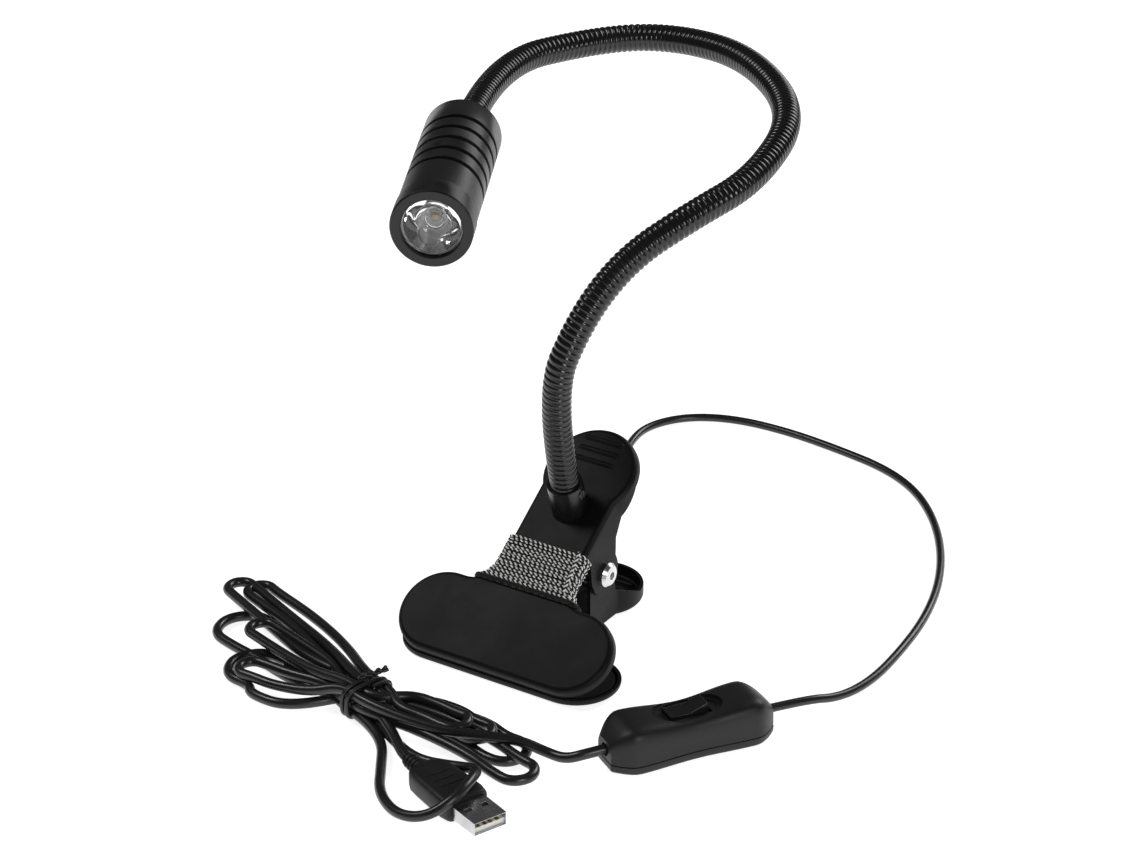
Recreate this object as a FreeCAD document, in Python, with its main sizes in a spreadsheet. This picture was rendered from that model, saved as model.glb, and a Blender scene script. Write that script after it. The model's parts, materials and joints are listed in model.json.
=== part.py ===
import FreeCAD, Part
import math
import os
import Sketcher
from FreeCAD import Placement, Rotation, Vector

# Clip-on reading lamp: a spring clamp of two pressed steel plates, a gooseneck, a turned LED head,
# and a USB lead with an inline rocker switch. Millimetres, +Z up. The origin lies on the flat
# underside of the lower clamp plate, under its waist. +Y runs from the jaws to the finger levers.

DIMENSIONS = [
    # clamp plates
    ("plate_wall", 1.2, "sheet thickness of both plates"),
    ("jaw_width", 82, "jaw, end to end"),
    ("jaw_depth", 30, "jaw, front to back"),
    ("waist_width", 29, "upper plate between jaw and lever, outside"),
    ("shoulder_radius", 9, "hollow corner between jaw and waist"),
    ("bend_radius", 2, "outside bend of the pressed edges"),
    ("side_gap", 0.3, "play between the nested cheeks of the two plates"),
    ("upper_length", 96, "upper plate, jaw edge to lever end"),
    ("upper_lever_radius", 17, "rounded end of the upper lever"),
    ("upper_rim", 4, "depth of the upper plate's turned-down rim"),
    ("upper_cheek_drop", 17.75, "upper plate's face down to the pivot"),
    ("upper_pivot_back", 52, "upper jaw edge back to the pivot"),
    ("upper_cheek_rear", 80, "where the upper cheek runs out into the rim"),
    ("lower_length", 85, "lower plate, jaw edge to lever end"),
    ("lower_lever_radius", 15.5, "rounded end of the lower lever"),
    ("lower_rim", 2.6, "height of the lower plate's rim"),
    ("lower_cheek_rise", 21.5, "floor up to the pivot"),
    ("lower_pivot_back", 51, "lower jaw edge back to the pivot"),
    ("lower_cheek_rear", 72, "where the lower cheek runs out into the rim"),
    ("lever_rim", 5.4, "rim height round the lower lever"),
    ("lobe_radius", 7.8, "round of the upper cheek about the pivot"),
    ("jaw_gap", 0.3, "gap between the rims when the jaws are closed"),
    ("pivot_y", 20, "pivot, behind the origin"),
    ("ridge_length", 16, "pressed finger ridges"),
    ("ridge_radius", 1, "round back of the finger ridges"),
    ("ridge_pitch", 4.1, "spacing of the finger ridges"),
    ("ridge_back", 5, "lever end to the last ridge"),
    ("pad_wall", 1.2, "rubber jaw pad"),
    ("pad_edge", 1, "rim to the edge of the pad"),
    # pivot screw and spring
    ("pin_radius", 2.5, "pivot screw shank"),
    ("pin_play", 0.05, "radial running clearance on the shank"),
    ("screw_head_radius", 4.3, "pivot screw head"),
    ("screw_head_height", 2.6, "pivot screw head"),
    ("screw_socket", 1.5, "hexagon socket, across corners, halved"),
    ("nut_flats", 8, "pivot nut, across flats"),
    ("nut_height", 3.2, "pivot nut"),
    ("wire_radius", 0.8, "torsion spring wire"),
    ("coil_radius", 4.6, "torsion spring, centre of the wire"),
    ("coil_turns", 5, "torsion spring"),
    ("coil_pitch", 1.9, "turn to turn, in wire radii, so that the turns touch"),
    ("coil_side", 0.92, "end of the coil to the cheek of the lower plate"),
    ("leg_slope", 35, "spring legs, degrees from their plates, steep enough to end before the ridges"),
    ("seat_gap", 0.1, "play where a leg or a band rests"),
    # knitted sleeves
    ("knit_wall", 1.5, "thickness of the knitted sleeves"),
    ("knit_front", 31, "upper jaw edge to its sleeve"),
    ("knit_length", 17.5, "upper sleeve along its plate"),
    ("lower_knit_front", 34, "lower jaw edge to its sleeve"),
    ("lower_knit_length", 9.4, "lower sleeve along its plate"),
    ("knit_flare", 4.5, "sleeve past the waist, where it starts on the shoulders"),
    ("knit_slack", 0.15, "sleeve to plate"),
    # gooseneck
    ("neck_radius", 5, "gooseneck, outside"),
    ("neck_bore", 3, "gooseneck, inside radius"),
    ("joint_gap", 0.3, "ball to cup, between two neck links"),
    ("mouth_flare", 0.6, "bore to its mouth, where the next link's lead swings"),
    ("bend_share", 0.42, "share of a run taken by the bend at its end"),
    ("wire_core", 1.4, "lead inside the neck, radius"),
    ("sleeve_radius", 6.2, "socket that holds the neck, outside"),
    ("sleeve_height", 11, "socket above the plate, along its axis"),
    ("neck_fit", 0.05, "radial fit of the neck in its sockets"),
    ("neck_foot", 1.8, "plate to the end of the neck"),
    ("set_screw_radius", 1.5, "set screw of the socket"),
    ("set_screw_height", 7.6, "set screw above the plate, along the socket"),
    ("set_screw_proud", 0.5, "set screw out of the socket"),
    ("grommet_radius", 3.6, "rubber grommet in the plate's cable hole"),
    ("grommet_lip", 4, "grommet below the plate"),
    # lamp head
    ("head_radius", 13.3, "turned body"),
    ("head_length", 73, "rear face to front face"),
    ("bezel_radius", 13.65, "front ring"),
    ("bezel_length", 9.2, "front ring"),
    ("bezel_lip", 1.8, "front ring's lip"),
    ("window_radius", 10, "opening in the lip"),
    ("thread_play", 0.05, "front ring on the body's spigot"),
    ("spigot_radius", 11.95, "spigot under the front ring"),
    ("spigot_length", 4.2, "spigot under the front ring"),
    ("cavity_radius", 10.9, "chamber for the optics"),
    ("cavity_depth", 16, "front face to the floor of the chamber"),
    ("socket_depth", 10, "neck socket in the rear face"),
    ("wire_bore", 2.2, "wire channel through the body, radius"),
    ("groove_first", 26, "front face to the first cooling groove"),
    ("groove_pitch", 8.2, "spacing of the cooling grooves"),
    ("groove_width", 2.4, "cooling groove"),
    ("groove_depth", 1.7, "cooling groove"),
    ("groove_count", 5, "cooling grooves"),
    ("head_chamfer", 1, "rear edge of the body"),
    ("board_wall", 1.6, "aluminium LED board"),
    ("board_edge", 0.3, "LED board to the chamber wall"),
    ("chip_radius", 3.4, "LED package"),
    ("chip_height", 0.8, "LED package"),
    ("dome_radius", 2.6, "LED dome"),
    ("dome_height", 2.2, "LED dome"),
    ("lens_radius", 10.5, "rim of the lens"),
    ("lens_rim", 1.3, "thickness of the lens rim"),
    ("lens_foot", 4.4, "narrow end of the lens, radius"),
    ("lens_stand", 4, "LED board to the narrow end of the lens"),
    ("holder_wall", 0.8, "lens holder ring"),
    ("holder_ring", 1.4, "lens holder ring, along the head"),
    ("holder_foot", 1.2, "lens holder's feet on the LED board"),
    ("leg_width", 2.2, "lens holder legs"),
    # cords
    ("lead_radius", 1.5, "cord from the neck to the switch"),
    ("usb_cord_radius", 1.75, "cord from the switch to the plug"),
    ("hank_height", 13, "bound hank of cord"),
    ("tie_width", 4, "band round the hank"),
    ("tie_wall", 1.2, "band round the hank"),
    ("tie_span", 17.5, "band round the hank, outside"),
    ("tie_slack", 0.05, "hank inside its band"),
    # inline switch
    ("switch_length", 58, "switch housing"),
    ("switch_width", 20, "switch housing at its shoulders"),
    ("switch_waist", 18, "switch housing at its middle"),
    ("switch_nose", 9, "switch housing at its ends"),
    ("switch_height", 15.5, "switch housing at its shoulders"),
    ("switch_dip", 1.5, "hollow in the top of the housing"),
    ("switch_seam", 3.4, "floor to the seam of the two shells"),
    ("switch_shoulder", 21, "middle to the shoulder"),
    ("switch_wall", 2.2, "switch housing"),
    ("cord_height", 6.5, "floor to the cord entries"),
    ("cord_grip", 8, "cord inside the housing"),
    ("slot_length", 15, "rocker opening"),
    ("slot_width", 7, "rocker opening"),
    ("rocker_play", 0.3, "rocker to its opening"),
    ("rocker_tilt", 9, "rocker, degrees each side of level"),
    ("rocker_pin", 1.2, "rocker trunnion radius"),
    ("rocker_axis", 10.5, "floor to the rocker's trunnions"),
    ("rocker_depth", 2.6, "rocker below its trunnions"),
    ("rocker_crown", 1.6, "rocker's ends above the housing"),
    ("bearing_wall", 1.8, "trunnion bearings"),
    ("bearing_length", 6, "trunnion bearings"),
    ("bridge_length", 7, "brass strip under the rocker"),
    ("bridge_width", 3.4, "brass strip under the rocker"),
    ("bridge_wall", 0.5, "brass strip under the rocker"),
    ("screw_radius", 1.2, "housing screws"),
    ("screw_length", 5, "housing screws, under the head"),
    ("screw_cap", 2.1, "housing screw heads, radius"),
    ("screw_cap_height", 1, "housing screw heads"),
    ("screw_sunk", 0.2, "housing screw heads, floor to head"),
    ("screw_ahead", 15, "housing screws, along the switch from its middle"),
    ("screw_aside", 5, "housing screws, across the switch from its middle"),
    ("boss_wall", 1.4, "plastic round the housing screws"),
    ("terminal_length", 8, "brass strips"),
    ("terminal_width", 4, "brass strips"),
    ("terminal_wall", 0.8, "brass strips"),
    ("terminal_ahead", 9, "brass strips, along the switch from its middle"),
    ("terminal_tab", 3, "upturned end of the brass strips"),
    # USB plug
    ("plug_length", 26, "moulded grip"),
    ("plug_width", 16, "moulded grip"),
    ("plug_height", 8, "moulded grip"),
    ("relief_length", 8, "strain relief"),
    ("relief_radius", 3, "strain relief at the grip"),
    ("shell_length", 12.2, "steel shell out of the grip"),
    ("shell_width", 12, "steel shell"),
    ("shell_height", 4.5, "steel shell"),
    ("shell_wall", 0.3, "steel shell"),
    ("shell_seat", 5, "steel shell inside the grip"),
    ("window_along", 4.6, "grip to the middle of the shell's windows"),
    ("window_aside", 2.9, "middle of the plug to a window's middle"),
    ("window_length", 2, "windows in the shell, along the plug"),
    ("window_width", 2.4, "windows in the shell, across the plug"),
    ("tongue_height", 1.8, "contact carrier"),
    ("contact_length", 7.4, "contacts on the carrier"),
    ("contact_width", 1.2, "contacts on the carrier"),
    ("contact_wall", 0.3, "contacts on the carrier"),
    ("contact_sunk", 0.2, "contacts in the carrier's top"),
    ("contact_along", 7.6, "grip to the middle of the contacts"),
    ("contact_inner", 1, "middle of the plug to the data contacts"),
    ("contact_outer", 3.5, "middle of the plug to the power contacts"),
]

doc = FreeCAD.newDocument("ClipLamp")
sheet = doc.addObject("Spreadsheet::Sheet", "Sizes")
for row, (alias, number, note) in enumerate(DIMENSIONS, start=1):
    sheet.set(f"A{row}", alias)
    sheet.set(f"B{row}", str(number))
    sheet.setAlias(f"B{row}", alias)
    sheet.set(f"C{row}", note)
doc.recompute()

kept = []  # the sub-parts that are written to files


def size(alias):
    """A driving dimension, as a number."""
    return float(getattr(sheet, alias))


def bind(thing, prop, expression):
    """Tie a property to the sheet; $name stands for the cell of that alias."""
    thing.setExpression(prop, expression.replace("$", "Sizes."))


def worked_out(expression):
    """The value that an expression has now."""
    found = sheet.evalExpression(expression.replace("$", "Sizes."))
    return float(getattr(found, "Value", found))


def keep(thing, label, place=None):
    thing.Label = label
    if place is not None:
        thing.Placement = place
    kept.append(thing)
    return thing


def at(x="0", y="0", z="0"):
    return {"x": x, "y": y, "z": z}


def put(thing, where):
    for axis, expression in where.items():
        if expression != "0":
            bind(thing, f"Placement.Base.{axis}", expression)
    return thing


def box(name, length, width, height, where):
    """A block centred on X, from its own y and z upwards."""
    thing = doc.addObject("Part::Box", name)
    bind(thing, "Length", length)
    bind(thing, "Width", width)
    bind(thing, "Height", height)
    middle = f"({where['x']}) - ({length}) / 2"
    return put(thing, at(middle, where["y"], where["z"]))


def rod(name, radius, height, where, turn=None):
    thing = doc.addObject("Part::Cylinder", name)
    bind(thing, "Radius", radius)
    bind(thing, "Height", height)
    if turn is not None:
        thing.Placement = Placement(Vector(), turn)
    return put(thing, where)


def ball(name, radius, centre, pole):
    thing = doc.addObject("Part::Sphere", name)
    bind(thing, "Radius", radius)
    thing.Placement = Placement(centre, Rotation(Vector(0, 0, 1), pole))
    return thing


def fuse(name, *things):
    thing = doc.addObject("Part::MultiFuse", name)
    thing.Shapes = list(things)
    thing.Refine = True
    return thing


def cut(name, base, *tools):
    thing = doc.addObject("Part::Cut", name)
    thing.Base = base
    thing.Tool = tools[0] if len(tools) == 1 else fuse(name + "_tools", *tools)
    return thing


def common(name, *things):
    thing = doc.addObject("Part::MultiCommon", name)
    thing.Shapes = list(things)
    return thing


def rounded(name, base, radius, wanted):
    """Fillet the edges for which wanted(edge) is true."""
    doc.recompute()
    edges = [
        (number, radius, radius)
        for number, edge in enumerate(base.Shape.Edges, start=1)
        if wanted(edge)
    ]
    if not edges:
        raise RuntimeError(f"{name}: no edge to round")
    thing = doc.addObject("Part::Fillet", name)
    thing.Base = base
    thing.Edges = edges
    return thing


def upright(edge):
    ends = edge.BoundBox
    return ends.ZLength > 0.5 and ends.XLength < 1e-6 and ends.YLength < 1e-6


def outline(sketch, points):
    """A closed polygon whose corners are tied to expressions in the sheet's sizes."""
    corners = [Vector(worked_out(x), worked_out(y), 0) for x, y in points]
    count = len(corners)
    for here in range(count):
        sketch.addGeometry(Part.LineSegment(corners[here], corners[(here + 1) % count]), False)
    for here in range(count):
        sketch.addConstraint(Sketcher.Constraint("Coincident", here, 2, (here + 1) % count, 1))
    for here, (x, y) in enumerate(points):
        for kind, line, expression, number in (
            ("DistanceX", -2, x, corners[here].x),
            ("DistanceY", -1, y, corners[here].y),
        ):
            if expression == "0":
                sketch.addConstraint(Sketcher.Constraint("PointOnObject", here, 1, line))
                continue
            index = sketch.addConstraint(Sketcher.Constraint(kind, -1, 1, here, 1, number))
            bind(sketch, f"Constraints[{index}]", expression)


def profile_on(body, name, role, points):
    sketch = body.newObject("Sketcher::SketchObject", name)
    plane = next(f for f in body.Origin.OriginFeatures if f.Role == role)
    sketch.AttachmentSupport = [(plane, "")]
    sketch.MapMode = "FlatFace"
    outline(sketch, points)
    return sketch


def turned(name, points):
    """A lathe part about Z, from its half section in radius and height."""
    body = doc.addObject("PartDesign::Body", name)
    sketch = profile_on(body, name + "_section", "XZ_Plane", points)
    turn = body.newObject("PartDesign::Revolution", name + "_turn")
    turn.Profile = sketch
    turn.ReferenceAxis = (sketch, ["V_Axis"])
    turn.Angle = 360
    body.Tip = turn
    return body


def padded(name, role, points, depth, middle=True):
    """A polygon raised off one of the body's planes."""
    body = doc.addObject("PartDesign::Body", name)
    sketch = profile_on(body, name + "_outline", role, points)
    pad = body.newObject("PartDesign::Pad", name + "_pad")
    pad.Profile = sketch
    bind(pad, "Length", depth)
    pad.Midplane = middle
    body.Tip = pad
    return body


ALONG_X = Rotation(Vector(0, 1, 0), 90)


# ---- clamp plates ---------------------------------------------------------------------------
# Each plate is a shallow pressed tray: a pill-shaped jaw, a waist and a round-ended finger lever,
# with a rim all round that deepens into two cheeks at the pivot. It is drawn face down, with its
# outer face at z = 0, its jaw edge at y = 0 and its walls rising.


def plate_blank(name, length, waist, lever, inset, start):
    """The tray's outline as a solid block, inset by the sheet where it is the hollow."""
    tall = "$lower_cheek_rise + 2 * $lobe_radius"
    reach = f"$jaw_depth / 2 - {inset}"
    side = "($jaw_width - $jaw_depth) / 2"
    blocks = [
        box(name + "_jaw", "$jaw_width - $jaw_depth", f"$jaw_depth - 2 * {inset}", tall,
            at("0", inset, start)),
        rod(name + "_jaw_left", reach, tall, at(f"-{side}", "$jaw_depth / 2", start)),
        rod(name + "_jaw_right", reach, tall, at(side, "$jaw_depth / 2", start)),
        box(name + "_waist", f"{waist} - 2 * {inset}", f"{length} - {lever} - $jaw_depth / 2", tall,
            at("0", "$jaw_depth / 2", start)),
        rod(name + "_lever", f"{lever} - {inset}", tall, at("0", f"{length} - {lever}", start)),
    ]
    block = fuse(name + "_block", *blocks)
    shoulder = worked_out(f"$jaw_depth - {inset}")
    half = worked_out(f"({waist}) / 2 - {inset}")

    def at_shoulder(edge):
        middle = edge.CenterOfMass
        return upright(edge) and abs(abs(middle.x) - half) < 0.01 and abs(middle.y - shoulder) < 0.01

    eased = rounded(name + "_shoulders", block, worked_out(f"$shoulder_radius + {inset}"), at_shoulder)
    floor = worked_out(start)

    def round_the_face(edge):
        return abs(edge.BoundBox.ZMax - floor) < 1e-6 and abs(edge.BoundBox.ZMin - floor) < 1e-6

    return rounded(name + "_bend", eased, worked_out(f"$bend_radius - {inset}"), round_the_face)


def plate_tray(name, length, waist, lever):
    skin = plate_blank(name + "_skin", length, waist, lever, "0", "0")
    hollow = plate_blank(name + "_hollow", length, waist, lever, "$plate_wall", "$plate_wall")
    return cut(name + "_tray", skin, hollow)


def side_profile(name, points, back, up, lobe):
    """The plate seen from the side, as a thick slab: rim, cheek and the lobe about the pivot."""
    slab = padded(name + "_slab", "YZ_Plane", points, "2 * $jaw_width")
    disc = rod(name + "_lobe", lobe, "2 * $jaw_width", at("-$jaw_width", back, up), ALONG_X)
    return fuse(name + "_side", slab, disc)


def ridges(name, length, up):
    """Three round-backed bars across the finger lever."""
    bars = []
    for number in range(3):
        back = f"{length} - $ridge_back - {number} * $ridge_pitch"
        half_bar = "($ridge_length / 2 - $ridge_radius)"
        bars.append(rod(f"{name}_ridge_{number}", "$ridge_radius", f"2 * {half_bar}",
                        at(f"-{half_bar}", back, up), ALONG_X))
        for sign in ("-", ""):
            tip = doc.addObject("Part::Sphere", f"{name}_ridge_{number}_tip")
            bind(tip, "Radius", "$ridge_radius")
            bars.append(put(tip, at(f"{sign}{half_bar}", back, up)))
    return bars


rim_front = "$upper_pivot_back - $lobe_radius"
cheek_front = "$knit_front + $knit_length + 1.2"
upper_side = side_profile(
    "upper",
    [("-5", "-5"), ("$upper_length + 5", "-5"), ("$upper_length + 5", "$upper_rim"),
     ("$upper_cheek_rear", "$upper_rim"),
     ("$upper_pivot_back + 1.5 * $lobe_radius", "0.7 * $upper_cheek_drop"),
     ("$upper_pivot_back + $lobe_radius", "$upper_cheek_drop"), (rim_front, "$upper_cheek_drop"),
     (f"{rim_front} + 0.6", "0.75 * $upper_cheek_drop"), (cheek_front, "$upper_rim"), ("-5", "$upper_rim")],
    "$upper_pivot_back", "$upper_cheek_drop", "$lobe_radius")
upper_tray = common("upper_trimmed",
                    plate_tray("upper", "$upper_length", "$waist_width", "$upper_lever_radius"), upper_side)
upper_ridged = fuse("upper_ridged", upper_tray, *ridges("upper", "$upper_length", "0.3"))

# Where the two plates meet: the jaws close when the upper rim's corner stands over the lower rim.
reach = math.hypot(size("upper_pivot_back"), size("upper_cheek_drop") - size("upper_rim"))
closed = math.degrees(
    math.asin((size("lower_cheek_rise") - size("lower_rim") - size("jaw_gap")) / reach)
    + math.atan2(size("upper_cheek_drop") - size("upper_rim"), size("upper_pivot_back")))
pivot = Vector(0, size("pivot_y"), size("lower_cheek_rise"))
face_down = Placement(Vector(), Rotation(Vector(0, 1, 0), 180))
tilt = Rotation(Vector(1, 0, 0), closed)
from_pivot = Vector(0, size("upper_pivot_back"), -size("upper_cheek_drop"))
upper_place = Placement(pivot - tilt.multVec(from_pivot), tilt).multiply(face_down)
lower_place = Placement(Vector(0, size("pivot_y") - size("lower_pivot_back"), 0), Rotation())

# ---- gooseneck route ------------------------------------------------------------------------
# The neck stands in its socket, leans over the jaws, then winds behind the clamp and back to the
# head. Its first point is on the upper plate's face, its last is the rear face of the head.

neck_route = [
    Vector(0, 20, 43.1), Vector(1, 5, 90), Vector(8, 14.5, 117), Vector(15.5, 30.5, 134),
    Vector(28, 49, 145), Vector(37, 76, 151), Vector(29, 117, 158.5), Vector(-8.5, 150.5, 161),
    Vector(-46, 162, 158), Vector(-71, 150, 156), Vector(-87, 100, 158), Vector(-61, 48, 155),
]
# The foot of the neck stays on the plate's face when the clamp changes.
foot = neck_route[0]
plate_corner = upper_place.multVec(Vector())
plate_up = tilt.multVec(Vector(0, 0, 1))
neck_axis = (neck_route[1] - foot).normalize()
foot = foot + neck_axis * ((plate_corner - foot).dot(plate_up) / neck_axis.dot(plate_up))
neck_route[0] = foot
head_axis = (neck_route[-1] - neck_route[-2]).normalize()


def spun(direction, start=Vector(0, 0, 1)):
    return Rotation(start, direction)


# ---- upper plate ----------------------------------------------------------------------------
def pivot_hole(name, back, up, play):
    return rod(name, f"$pin_radius + {play}", "2 * $jaw_width", at("-$jaw_width", back, up), ALONG_X)


cable_hole = rod("upper_cable_hole", "$grommet_radius", "30", at())
inward = upper_place.inverse()
cable_hole.Placement = inward.multiply(Placement(foot - neck_axis * 15, spun(neck_axis)))
upper_plate = keep(
    cut("upper_pressing", upper_ridged,
        pivot_hole("upper_pivot_hole", "$upper_pivot_back", "$upper_cheek_drop", "$pin_play"), cable_hole),
    "upper_plate", upper_place)

# ---- lower plate ----------------------------------------------------------------------------
# The same pressing turned over, narrower so that its cheeks nest inside the upper ones. Its waist
# is pressed up, so that the knitted sleeve round it stays clear of the table.
lower_waist = "($waist_width - 2 * $plate_wall - 2 * $side_gap)"
lower_lobe = "($lobe_radius - 0.6)"
rise_front = f"$lower_pivot_back - {lower_lobe}"
waist_rim = "(2 * $lower_rim)"
lower_side = side_profile(
    "lower",
    [("-5", "-5"), ("$lower_length + 5", "-5"), ("$lower_length + 5", "$lever_rim"),
     ("$lower_cheek_rear", "$lever_rim"),
     (f"$lower_pivot_back + 1.2 * {lower_lobe}", "0.5 * $lower_cheek_rise"),
     (f"$lower_pivot_back + {lower_lobe}", "$lower_cheek_rise"), (rise_front, "$lower_cheek_rise"),
     (rise_front, waist_rim), ("$lower_knit_front", waist_rim), ("$lower_knit_front - 4", "$lower_rim"),
     ("-5", "$lower_rim")],
    "$lower_pivot_back", "$lower_cheek_rise", lower_lobe)
lower_tray = common("lower_trimmed",
                    plate_tray("lower", "$lower_length", lower_waist, "$lower_lever_radius"), lower_side)
recess = "($knit_wall + $knit_slack)"
step_back = "$lower_knit_length + 2 * $seat_gap"
step_block = plate_blank("lower_step", "$lower_length", lower_waist, "$lower_lever_radius",
                         "$plate_wall / 2", "$plate_wall / 2")
step_slab = box("lower_step_slab", "$jaw_width", f"{step_back} + 2 * $plate_wall", f"{recess} + $plate_wall",
                at("0", "$lower_knit_front - $seat_gap - $plate_wall"))
step_up = common("lower_step_up", step_block, step_slab)
lower_stepped = fuse("lower_stepped", lower_tray, step_up,
                     *ridges("lower", "$lower_length", "$ridge_radius + 0.1"))
step_under = box("lower_step_under", "$jaw_width", step_back, f"{recess} + 5",
                 at("0", "$lower_knit_front - $seat_gap", "-5"))
lower_plate = keep(
    cut("lower_pressing", lower_stepped, step_under,
        pivot_hole("lower_pivot_hole", "$lower_pivot_back", "$lower_cheek_rise", "$pin_play")),
    "lower_plate", lower_place)


# ---- jaw pads -------------------------------------------------------------------------------
def jaw_pad(name, place):
    """Thin rubber, glued in the hollow of the jaw."""
    edge = "($plate_wall + $pad_edge)"
    side = "($jaw_width - $jaw_depth) / 2"
    reach = f"$jaw_depth / 2 - {edge}"
    pad = fuse(
        name,
        box(name + "_bar", "$jaw_width - $jaw_depth", f"$jaw_depth - 2 * {edge}", "$pad_wall",
            at("0", edge, "$plate_wall")),
        rod(name + "_left", reach, "$pad_wall", at(f"-{side}", "$jaw_depth / 2", "$plate_wall")),
        rod(name + "_right", reach, "$pad_wall", at(side, "$jaw_depth / 2", "$plate_wall")))
    return keep(pad, name, place)


jaw_pad("upper_jaw_pad", upper_place)
jaw_pad("lower_jaw_pad", lower_place)


# ---- knitted sleeves ------------------------------------------------------------------------
def knit_sleeve(name, length, waist, lever, low, high, front, run, place):
    """A tube of elastic knit pulled over the waist of a plate, from low to high, and from front on."""
    grown = "($knit_wall + $knit_slack)"
    flare = f"{waist} + 2 * $knit_flare"
    skin = plate_blank(name + "_skin", length, waist, lever, f"(-{grown})", f"-{grown}")
    room = plate_blank(name + "_room", length, waist, lever, "(-$knit_slack)", "-$knit_slack")
    slab = box(name + "_slab", flare, run, f"{high} - ({low}) + 2 * {grown}",
               at("0", front, f"{low} - {grown}"))
    opening = box(name + "_opening", "2 * $jaw_width", f"{run} + 2", f"{high} - ({low}) + 2 * $knit_slack",
                  at("0", f"{front} - 1", f"{low} - $knit_slack"))
    tube = cut(name + "_tube", common(name + "_outside", skin, slab), common(name + "_inside", room, opening))
    return keep(tube, name, place)


knit_sleeve("upper_knit_sleeve", "$upper_length", "$waist_width", "$upper_lever_radius", "0", "$upper_rim",
            "$knit_front", "$knit_length", upper_place)
knit_sleeve("lower_knit_sleeve", "$lower_length", lower_waist, "$lower_lever_radius", recess, waist_rim,
            "$lower_knit_front", "$lower_knit_length", lower_place)

# ---- pivot screw, nut and spring ------------------------------------------------------------
across = size("waist_width") / 2
hexagon = [(f"{math.cos(math.radians(60 * n)):.6f}", f"{math.sin(math.radians(60 * n)):.6f}")
           for n in range(6)]
screw_turned = turned("pivot_screw_turned", [
    ("0", "-$waist_width - $nut_height - 0.8"), ("$pin_radius", "-$waist_width - $nut_height - 0.8"),
    ("$pin_radius", "0"), ("$screw_head_radius", "0"), ("$screw_head_radius", "0.45 * $screw_head_height"),
    ("0.78 * $screw_head_radius", "0.9 * $screw_head_height"), ("0.5 * $screw_head_radius",
     "$screw_head_height"), ("0", "$screw_head_height")])
socket = padded("pivot_screw_socket", "XY_Plane",
                [(f"{x} * $screw_socket", f"{y} * $screw_socket") for x, y in hexagon],
                "2 * $screw_head_height", middle=False)
put(socket, at("0", "0", "0.35 * $screw_head_height"))
keep(cut("pivot_screw_cut", screw_turned, socket), "pivot_screw",
     Placement(pivot + Vector(across, 0, 0), ALONG_X))
nut_block = padded("pivot_nut_block", "XY_Plane",
                   [(f"{x} * $nut_flats / sqrt(3)", f"{y} * $nut_flats / sqrt(3)") for x, y in hexagon],
                   "$nut_height", middle=False)
nut_bore = rod("pivot_nut_bore", "$pin_radius", "2 * $nut_height", at("0", "0", "-1"))
keep(cut("pivot_nut_cut", nut_block, nut_bore), "pivot_nut",
     Placement(pivot - Vector(across + size("nut_height"), 0, 0), ALONG_X))


def spring_leg(name, plate_angle, drop, x, upward):
    """A straight leg that leaves the coil and ends against the inside of a lever."""
    lean = math.radians(size("leg_slope"))
    rise = drop - size("plate_wall") - size("wire_radius") - size("seat_gap")
    length = (rise - size("coil_radius") * math.cos(lean)) / math.sin(lean)
    heading = math.radians(plate_angle) + upward * lean
    along = Vector(0, math.cos(heading), math.sin(heading))
    out = Vector(0, -math.sin(heading), math.cos(heading)) * upward
    leg = rod(name, "0.96 * $wire_radius", f"{length:.4f} + $wire_radius", at())
    leg.Placement = Placement(
        pivot + Vector(x, 0, 0) + out * size("coil_radius") - along * size("wire_radius"), spun(along))
    return leg


turns = []
step = size("coil_pitch") * size("wire_radius")
far = size("coil_side") + size("wire_radius") - worked_out(f"{lower_waist} / 2 - $plate_wall")
near = far + (size("coil_turns") - 1) * step
for number in range(int(size("coil_turns"))):
    ring = doc.addObject("Part::Torus", f"spring_turn_{number}")
    bind(ring, "Radius1", "$coil_radius")
    bind(ring, "Radius2", "$wire_radius")
    x = near - number * step
    ring.Placement = Placement(pivot + Vector(x, 0, 0), ALONG_X)
    turns.append(ring)
legs = [spring_leg("spring_leg_upper", closed, size("upper_cheek_drop"), far, 1),
        spring_leg("spring_leg_lower", 0, size("lower_cheek_rise"), near, -1)]
keep(fuse("torsion_coil", *turns, *legs), "torsion_spring", Placement())

# ---- neck socket, set screw and grommet -----------------------------------------------------
socket_skin = rod("socket_skin", "$sleeve_radius", "$sleeve_height + 8", at("0", "0", "-8"))
socket_bore = rod("socket_bore", "$neck_radius + $neck_fit", "$sleeve_height + 12", at("0", "0", "-9"))
screw_way = rod("socket_screw_way", "$set_screw_radius", "20", at("0", "0", "$set_screw_height"), ALONG_X)
socket_place = Placement(foot, spun(neck_axis))
wide = "2 * $sleeve_height"
under_face = padded("socket_under_face", "XY_Plane", [
    (f"-{wide}", f"-{wide}"), (wide, f"-{wide}"), (wide, wide), (f"-{wide}", wide)], "4 * $sleeve_height")
sunk = Placement(Vector(0, 0, -2 * size("sleeve_height")), Rotation())
under_face.Placement = socket_place.inverse().multiply(Placement(foot, tilt)).multiply(sunk)
keep(cut("socket_tube", socket_skin, socket_bore, screw_way, under_face), "neck_socket", socket_place)
grub = rod("socket_grub", "$set_screw_radius", "$sleeve_radius + $set_screw_proud - $neck_radius - 0.02",
           at("$neck_radius + 0.02", "0", "$set_screw_height"), ALONG_X)
grub_slot = box("socket_grub_slot", "1", "0.6", "4 * $set_screw_radius",
                at("$sleeve_radius + $set_screw_proud", "-0.3", "$set_screw_height - 2 * $set_screw_radius"))
keep(cut("socket_grub_cut", grub, grub_slot), "socket_set_screw", socket_place)
grommet_skin = rod("grommet_skin", "$grommet_radius", "$grommet_lip + 0.6", at("0", "0", "-$grommet_lip"))
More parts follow.
